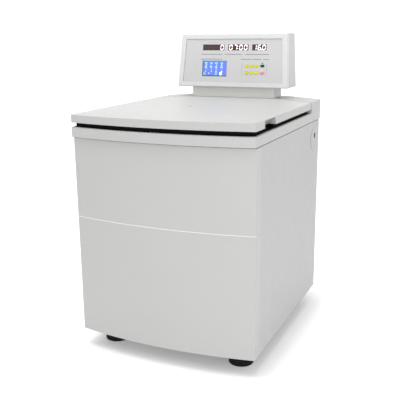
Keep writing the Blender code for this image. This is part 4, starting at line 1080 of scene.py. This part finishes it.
def printed_marks():
    """Marks and brackets printed on the face panel round the displays and keys."""
    rows = (("speed_marks", (-0.139, -0.045), 0.1368), ("time_marks", (-0.033, 0.040), 0.1368),
            ("temperature_marks", (0.058, 0.160), 0.1368), ("screen_marks", (-0.1435, -0.046), 0.1164),
            ("set_marks", (0.038, 0.085), 0.1164), ("step_marks", (0.092, 0.128), 0.1164),
            ("run_marks", (0.136, 0.162), 0.1164))
    for name, u, v in rows:
        dashes("printed_" + name, u, v, 0.0025, PRINT_GREY)
    dashes("printed_top_marks", (-0.113, -0.067), 0.1855, 0.0014, PRINT_LIGHT)
    for name, start, end in (("left", 0.0440, 0.0500), ("right", 0.1535, 0.1475)):
        low, high, line = 0.0510, 0.0990, 0.0014
        inward = line if end > start else -line
        bend = start + (end - start) / 2
        outline = [(start, low + 0.004), (bend, low), (end, low), (end, low + line),
                   (bend + inward * 0.3, low + line), (start + inward, low + 0.0045),
                   (start + inward, high - 0.0045), (bend + inward * 0.3, high - line),
                   (end, high - line), (end, high), (bend, high), (start, high - 0.004)]
        bracket = on_face(prism("printed_bracket_" + name, outline, *PRINT_DEPTH, PRINT_LIGHT, axis="Y"))
        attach(bracket, "cabinet")
    for name, v, coat in (("start", KEY_ROWS[0] + 0.0108, PRINT_GREY),
                          ("stop", KEY_ROWS[1] + 0.0098, PRINT_AMBER)):
        outline = stadium(START_STOP_U, v, 0.0034, 0.0026)
        mark = prism("printed_mark_" + name, outline, *PRINT_DEPTH, coat, axis="Y")
        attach(on_face(mark), "cabinet")


# ---------------------------------------------------------------- lid underside, chamber and rotor

def lid_underside():
    """Liner with rounded edges, its pressed steel disc, striker and sight glass."""
    rounded_copy("lid_liner", "lid", 0.0016, LINER_AND_GAP_SHADE_COAT, 2, 40)
    rounded_copy("lid_striker", "lid", 0.0006)
    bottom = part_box("lid_liner")[0][2]
    radius = 0.240
    top, drop = bottom - 0.0002, 0.0026
    under, groove = top - drop, top - drop * 0.5
    shape = [(0.0, top), (radius, top), (radius, top - drop * 0.4), (radius - 0.001, top - drop * 0.8),
             (radius - 0.003, under), (0.200, under), (0.197, groove), (0.190, groove), (0.187, under),
             (0.090, under), (0.087, groove), (0.080, groove), (0.077, under), (0.0, under)]
    disc = turned("lid_steel_disc", shape[::-1], DRIVE, SPUN_STEEL, 160)
    cut(disc, rod("port", (*PORT, bottom), 0.0095, 0.02))
    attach(soften(disc, 30), "lid")
    turns = [math.tau * i / 8 + 0.3 for i in range(8)]
    places = [around(0.218, turn, under) for turn in turns]
    screws("disc_screw", places, (0, 0, -1), "lid", 0.0034)
    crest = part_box("lid_shell")[1][2]
    lens = [(0, top + 0.004), (0.0070, top + 0.004), (0.0078, top + 0.0048), (0.0078, crest - 0.0001),
            (0.0073, crest + 0.0004), (0.0050, crest + 0.0008), (0.0025, crest + 0.0010), (0, crest + 0.0011)]
    glass = turned("sight_glass_fine", lens, (*PORT, 0), FROSTED_GLASS, 64)
    stand_for(glass, "lid", "lid_sight_glass")


def chamber():
    """Polished bowl and the lipped seal round its mouth."""
    low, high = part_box("rotor_chamber")
    floor, rim = low[2], high[2]
    radius, wall, flange, hub, fillet = 0.235, 0.0016, 0.262, 0.032, 0.025
    inner = [(radius, rim - 0.0005)]
    for z in (0.790, 0.740, 0.690):
        inner += [(radius, z + 0.006), (radius - 0.0012, z + 0.003), (radius - 0.0012, z - 0.003),
                  (radius, z - 0.006)]
    inner += [(x, floor + wall + y) for x, y in corner_arc((radius - fillet, fillet), fillet, 0, -90, 10)]
    outer = [(hub, floor + wall), (hub, floor)]
    outer += [(x + wall, floor + y) for x, y in corner_arc((radius - fillet, fillet), fillet, -90, 0, 10)]
    outer += [(radius + wall, rim - wall), (flange, rim - wall), (flange, rim - 0.0005),
              (flange - 0.0005, rim), (radius + 0.0005, rim)]
    bowl = turned("chamber_bowl", inner + outer, DRIVE, SPUN_STEEL, 160)
    stand_for(bowl, "cabinet", "rotor_chamber")
    low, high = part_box("chamber_gasket")
    z = low[2]
    lip = [(0.262, z), (0.262, z + 0.0008), (0.2605, z + 0.0016), (0.2575, z + 0.0018), (0.2560, z + 0.0010),
           (0.2545, z + 0.0010), (0.2530, z + 0.0018), (0.2505, z + 0.0016), (0.2492, z + 0.0008),
           (0.2490, z)]
    seal = turned("mouth_seal", lip, DRIVE, "black_rubber", 160)
    stand_for(seal, "cabinet", "chamber_gasket")


def rotor():
    """Machined fixed-angle rotor with numbered bottle pockets."""
    low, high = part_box("rotor")
    base, boss_top = low[2], high[2]
    top = boss_top - 0.004
    rim = 0.200
    shape = [(0.0056, boss_top), (0.029, boss_top), (0.030, boss_top - 0.0006), (0.0355, top + 0.0006),
             (0.037, top)]
    shape += [(0.1425, top)] + corner_arc((0.1425, top - 0.0060), 0.0060, 80, 18, 5)
    shape += [(rim - 0.0030, base + 0.0450), (rim - 0.0006, base + 0.0400), (rim, base + 0.0370),
              (rim, base + 0.0290), (rim - 0.0014, base + 0.0280), (rim - 0.0014, base + 0.0250),
              (rim, base + 0.0240), (rim, base + 0.0180), (rim - 0.0130, base + 0.0008),
              (rim - 0.0150, base), (0.0150, base), (0.0150, 0.6560), (0.0095, 0.7406), (0.0056, 0.7406)]
    body = turned("rotor_body", shape, DRIVE, SPUN_ALUMINIUM, 144)
    pocket_radius, depth, circle, tilt, count = 0.034, 0.128, 0.095, math.radians(23), 6
    bottle = [(0, 0.020), (pocket_radius, 0.020), (pocket_radius, 0.010 - depth)]
    bottle += corner_arc((pocket_radius - 0.010, 0.010 - depth), 0.010, -15, -90, 5) + [(0, -depth)]
    middle = Matrix.Translation((0, DRIVE_Y, top))
    outwards = Matrix.Translation((circle, 0, 0)) @ Matrix.Rotation(-tilt, 4, "Y")
    for i in range(count):
        pocket = turned("pocket", bottle, (0, 0, 0), None, 72)
        pocket.data.transform(middle @ Matrix.Rotation(math.tau * i / count, 4, "Z") @ outwards)
        cut(body, pocket)
    stand_for(round_edges(body, 0.0008, 2, 45), "spindle", "rotor")
    for i in range(count):
        work = bmesh.new()
        write_number(work, str(i + 1), -0.003, -0.005, 0.006, 0.010, 0.006, 0.0016, 0.0, (0, 0.0002))
        mark = from_bmesh("rotor_number_{}".format(i + 1), work, PRINT_GREY)
        turn = math.tau * (i + 0.5) / count
        flat = Matrix.Rotation(-math.pi / 2, 4, "X")
        place = Matrix.Translation(around(0.118, turn, top + 0.00005))
        mark.data.transform(place @ Matrix.Rotation(turn - math.pi / 2, 4, "Z") @ flat)
        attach(mark, "spindle")


def rotor_knob():
    """Scalloped grip with a raised cap."""
    low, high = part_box("rotor_knob")
    seat, top = low[2], high[2]
    grip, stem, under, bore = 0.030, 0.016, top - 0.022, 0.0054
    shape = [(0, top - 0.0008), (0.012, top - 0.0008), (0.013, top), (grip - 0.004, top)]
    shape += corner_arc((grip - 0.004, top - 0.004), 0.004, 75, 0, 5) + [(grip, under + 0.002)]
    shape += corner_arc((grip - 0.002, under + 0.002), 0.002, 0, -60, 3)
    shape += [(stem, under - 0.008), (stem, seat), (bore, seat), (bore, 0.8065), (0, 0.8065)]
    knob = turned("rotor_knob_fine", shape, DRIVE, "black_plastic", 96)
    for i in range(6):
        cut(knob, rod("scallop", around(0.036, math.tau * i / 6, top - 0.012), 0.010, 0.06))
    stand_for(round_edges(knob, 0.0009, 2, 40), "knob", "rotor_knob")


# ---------------------------------------------------------------- machinery inside the cabinet

def plates(name, boxes, body, coat):
    """One piece made of many thin plates, each given by its two corners."""
    item = blocks(name, boxes, coat, 0.0)
    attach(item, body)
    return item


def motor():
    """Finned motor can with its terminal box and its three cushions."""
    can, flange, bottom = 0.108, 0.140, 0.315
    low, high = 0.530, 0.544
    shape = [(0.030, 0.552), (0.059, 0.552), (0.060, 0.551), (0.062, high), (flange - 0.001, high),
             (flange, high - 0.001), (flange, low + 0.001), (flange - 0.001, low), (can, low),
             (can, bottom + 0.015)]
    shape += [(can - 0.0065, bottom + 0.004), (can - 0.013, bottom), (0.018, bottom), (0.018, bottom + 0.015),
              (0.030, bottom + 0.030)]
    body = turned("motor_can", shape, DRIVE, "motor_casting", 120)
    stand_for(body, "cabinet", "drive_motor")
    work = bmesh.new()
    count = 44
    for i in range(count):
        made = add_block(work, (0.010, 0.0022, 0.150), (can + 0.0045, 0, 0.435))
        spun_by = Matrix.Rotation(math.tau * (i + 0.5) / count, 3, "Z")
        bmesh.ops.rotate(work, verts=made, cent=(0, 0, 0), matrix=spun_by)
    bmesh.ops.translate(work, vec=DRIVE, verts=work.verts)
    fins = from_bmesh("motor_fins", work, "motor_casting", 0.0)
    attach(fins, "cabinet")
    cover = box("motor_terminal_box", (-0.032, DRIVE_Y - 0.137, 0.385), (0.032, DRIVE_Y - 0.104, 0.465),
                "motor_casting")
    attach(round_edges(cover, 0.004, 3), "cabinet")
    lid_screws = [(x, DRIVE_Y - 0.137, z) for x in (-0.024, 0.024) for z in (0.394, 0.456)]
    screws("terminal_screw", lid_screws, (0, -1, 0), "cabinet", 0.0030)
    for i in range(3):
        node = "vibration_mount_{}".format(i + 1)
        low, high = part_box(node)
        middle = [(a + b) / 2 for a, b in zip(low, high)]
        top, base = high[2], low[2]
        waist = (top + base) / 2
        side = [(0, base), (0.018, base), (0.018, base + 0.0020), (0.0172, base + 0.0024),
                (0.0145, waist - 0.002), (0.0140, waist), (0.0145, waist + 0.002), (0.0172, top - 0.0024),
                (0.018, top - 0.0020), (0.018, top), (0, top)]
        cushion = turned("mount_cushion_{}".format(i + 1), side, (middle[0], middle[1], 0),
                         "black_rubber", 48)
        stand_for(cushion, "cabinet", node)


def spindle():
    """Ground shaft with its cone, flange and threaded stud."""
    stud, shaft, flange = 0.005, 0.014, 0.026
    shape = [(0, 0.806), (stud - 0.0008, 0.806), (stud, 0.8052)]
    for i in range(12):
        z = 0.8045 - 0.0016 * i
        shape += [(stud, z), (stud - 0.0004, z - 0.0008)]
    shape += [(stud, 0.780), (stud, 0.740), (0.0080, 0.740), (0.0085, 0.7395), (shaft, 0.655), (shaft, 0.636),
              (flange - 0.0008, 0.636), (flange, 0.6352), (flange, 0.5608), (flange - 0.0008, 0.560),
              (0.024, 0.360), (0.0165, 0.350), (0.016, 0.3495), (0.016, 0.3226), (0.0154, 0.322), (0, 0.322)]
    item = turned("spindle_shaft", shape, DRIVE, "zinc_steel", 72)
    stand_for(item, "spindle", "drive_spindle")


def coil():
    """Copper tube wound smoothly round the bowl."""
    steps, turns, radius = 72, 3, 0.249
    line = []
    for i in range(steps * turns + 1):
        line.append(around(radius, math.tau * i / steps, 0.640 + 0.052 * i / steps))
    stand_for(tube("coil_tube", line, 0.005, 2, "copper"), "cabinet", "evaporator_coil")


def refrigeration():
    """Compressor shell with its weld, stubs and terminal cap, and the finned condenser."""
    x, y = COMPRESSOR_PLACE
    wall = 0.078
    weld = wall + 0.0020
    shape = [(0, 0.285), (0.025, 0.2840), (0.045, 0.280), (0.060, 0.2725), (0.072, 0.262), (0.0765, 0.250),
             (wall, 0.235), (wall, 0.196), (weld, 0.194), (weld, 0.188), (wall, 0.186), (wall, 0.125),
             (0.0755, 0.113), (0.070, 0.105), (0.070, 0.0865), (0, 0.0865)]
    shell = turned("compressor_shell", shape, (x, y, 0), "black_enamel", 96)
    stand_for(shell, "cabinet", "compressor")
    for name, dx, dy in (("suction", 0.030, 0.020), ("discharge", -0.028, 0.026)):
        stub = [(0, 0.300), (0.0035, 0.300), (0.0045, 0.2985), (0.0045, 0.2900), (0.0070, 0.2885),
                (0.0070, 0.2845), (0.0045, 0.2830), (0.0045, 0.272), (0, 0.272)]
        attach(turned(name + "_stub", stub, (x + dx, y + dy, 0), "copper", 32), "cabinet")
    cap = box("compressor_terminal_cap", (x - 0.022, y - 0.093, 0.200), (x + 0.022, y - 0.070, 0.245),
              "black_plastic")
    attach(round_edges(cap, 0.004, 3), "cabinet")
    left, right, front = 0.010, 0.270, 0.345
    fins = [((left + 0.003 + 0.0042 * i, front + 0.001, 0.1315),
             (left + 0.0036 + 0.0042 * i, front + 0.039, 0.4385)) for i in range(61)]
    fins += [((left, front, 0.130), (left + 0.0016, front + 0.040, 0.440)),
             ((right - 0.0016, front, 0.130), (right, front + 0.040, 0.440))]
    item = plates("condenser_fins", fins, "cabinet", "aluminium")
    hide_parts("condenser")
    for column, y in (("front", front + 0.011), ("rear", front + 0.029)):
        line = []
        for i in range(8):
            z = 0.150 + 0.038 * i
            ends = [(left + 0.0065, y, z), (right - 0.0065, y, z)]
            line += ends if i % 2 == 0 else ends[::-1]
        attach(tube("condenser_tube_" + column, line, 0.0045, 2, "copper"), "cabinet")


def electrics():
    """Inverter with its heat sink, and the parts on the display board."""
    rounded_copy("drive_inverter", "cabinet", 0.0012)
    fins = [((-0.1505, -0.256 + 0.0145 * i, 0.105), (-0.1410, -0.2535 + 0.0145 * i, 0.315))
            for i in range(13)]
    plates("inverter_heat_sink", fins, "cabinet", "aluminium")
    rounded_copy("control_board", "cabinet", 0.0002, segments=1)
    chips = [(-0.150, 0.060, 0.030, 0.022), (-0.095, 0.062, 0.018, 0.018), (-0.040, 0.120, 0.022, 0.010),
             (0.020, 0.070, 0.026, 0.026), (0.085, 0.125, 0.020, 0.012), (0.130, 0.065, 0.016, 0.010)]
    work = bmesh.new()
    for u, v, width, height in chips:
        glyph(work, oblong(width, height), u, v, 0.0, (0.0138, 0.0168))
    mount("board_chips", work, "black_plastic")


def machinery():
    motor()
    spindle()
    coil()
    refrigeration()
    electrics()
    rounded_copy("chassis_frame", "cabinet", 0.0010, segments=1)
    rounded_copy("motor_plate", "cabinet", 0)
    rounded_copy("condenser_fan", "fan", 0.0006, segments=1)
    rounded_copy("fan_frame", "cabinet", 0.0008)
    for node, body in (("hinge_deck_leaf", "cabinet"), ("hinge_lid_leaf", "lid")):
        rounded_copy(node, body, 0.0002, segments=1, angle=40)


def latch():
    rounded_copy("latch_hook", "hook", 0.0006)
    rounded_copy("latch_bracket", "cabinet", 0.0004, segments=1)


# ---------------------------------------------------------------- carried-over nodes

def coat_nodes():
    """Give every CAD node the procedural finish of its slot."""
    for entry in frame["record"]["subparts"]:
        node = frame["nodes"][entry["node"]]
        coat = LINER_AND_GAP_SHADE_COAT if entry["node"] == "lid_liner" else COATS[entry["material_slot"]]
        if not node.material_slots:
            node.data.materials.append(coat)
        for slot in node.material_slots:
            slot.material = coat


# ---------------------------------------------------------------- stage

# The floor is shaded near a box round the foot of the cabinet, and the shade fades with distance
SHADE_CENTRE = (0.04, 0.06, 0.0)
SHADE_HALF = (0.33, 0.40, 0.0)
SHADE_RANGE = (0.20, 0.46)
SHADE_FADE = 0.10

FLOOR_SIZE = 30.0
BACKDROP_RADIUS = 14.0
BACKDROP_TOP = 9.0
BACKDROP_GLOW = 1.02
SKY_STRENGTH = 0.80

# Angles in degrees, lens and sensor in millimetres
CAMERA_PLACE = (1.0451, -2.3608, 1.1739)
CAMERA_YAW, CAMERA_PITCH, CAMERA_ROLL = 24.29, 14.19, -0.62
SENSOR_WIDTH = 36.0
LENS = 60.084


def stage():
    """Pale floor that fades to white with distance, and a white backdrop round it."""
    ground = Finish("studio_floor", (0.70, 0.70, 0.70), 0.7)
    ground.vary_roughness(ground.noise(0.4), 0.65, 0.75)
    ground.set("Emission Color", (1.0, 1.0, 1.0, 1.0))
    where = ground.node("ShaderNodeTexCoord")
    reach = where.outputs["Object"]
    for operation, amount in (("SUBTRACT", SHADE_CENTRE), ("ABSOLUTE", None), ("SUBTRACT", SHADE_HALF),
                              ("MAXIMUM", (0, 0, 0)), ("LENGTH", None)):
        step = ground.node("ShaderNodeVectorMath", operation=operation)
        ground.link(reach, step.inputs[0])
        if amount:
            step.inputs[1].default_value = amount
        reach = step.outputs["Value" if operation == "LENGTH" else "Vector"]
    glow = ground.spread(reach, *SHADE_RANGE, 0.0, SHADE_FADE)
    ground.link(glow, ground.shader.inputs["Emission Strength"])
    work = bmesh.new()
    bmesh.ops.create_grid(work, x_segments=1, y_segments=1, size=FLOOR_SIZE)
    from_bmesh("studio_floor", work, ground.material)
    sheet = Finish("studio_backdrop", (0.2, 0.2, 0.2), 0.9)
    sheet.vary_roughness(sheet.noise(0.4), 0.85, 0.95)
    sheet.set("Emission Color", (1.0, 1.0, 1.0, 1.0))
    sheet.set("Emission Strength", BACKDROP_GLOW)
    outer = BACKDROP_RADIUS + 0.1
    ring = [(BACKDROP_RADIUS, -0.1), (outer, -0.1), (outer, BACKDROP_TOP), (BACKDROP_RADIUS, BACKDROP_TOP)]
    turned("studio_backdrop", ring, (0, 0, 0), sheet.material, 64)
    world = bpy.data.worlds.new("studio")
    world.use_nodes = True
    sky = world.node_tree.nodes["Background"]
    sky.inputs["Color"].default_value = (1, 1, 1, 1)
    sky.inputs["Strength"].default_value = SKY_STRENGTH
    bpy.context.scene.world = world
    bpy.context.scene.view_settings.view_transform = "Standard"


def area_light(name, place, target, size, power):
    data = bpy.data.lights.new(name, "AREA")
    data.shape = "SQUARE"
    data.size = size
    data.energy = power
    lamp = add_object(name, data)
    lamp.location = place
    lamp.rotation_euler = (Vector(target) - Vector(place)).to_track_quat("-Z", "Y").to_euler()


def lights():
    area_light("key_light", (1.00, -1.7, 0.80), (0, 0, 0.45), 1.2, 7.2)
    area_light("top_light", (-0.10, -0.30, 3.1), (0, 0, 0.9), 2.2, 62)


def camera():
    yaw, pitch, roll = (math.radians(angle) for angle in (CAMERA_YAW, CAMERA_PITCH, CAMERA_ROLL))
    forward = Vector((-math.sin(yaw) * math.cos(pitch), math.cos(yaw) * math.cos(pitch), -math.sin(pitch)))
    right = Vector((math.cos(yaw), math.sin(yaw), 0))
    up = right.cross(forward)
    turned_right = math.cos(roll) * right + math.sin(roll) * up
    turned_up = -math.sin(roll) * right + math.cos(roll) * up
    data = bpy.data.cameras.new("camera")
    data.sensor_width = SENSOR_WIDTH
    data.lens = LENS
    view = add_object("camera", data)
    place = Matrix((turned_right, turned_up, -forward)).transposed().to_4x4()
    place.translation = CAMERA_PLACE
    view.matrix_world = place
    bpy.context.scene.camera = view


def main():
    camera()
    lights()
    stage()
    coat_nodes()
    lid()
    deck()
    front_panels()
    side_panels()
    rear_panel()
    feet()
    supply()
    release()
    head_housing()
    neck()
    face()
    displays()
    lcd_graphics()
    printed_marks()
    lid_underside()
    chamber()
    rotor()
    rotor_knob()
    machinery()
    latch()


main()
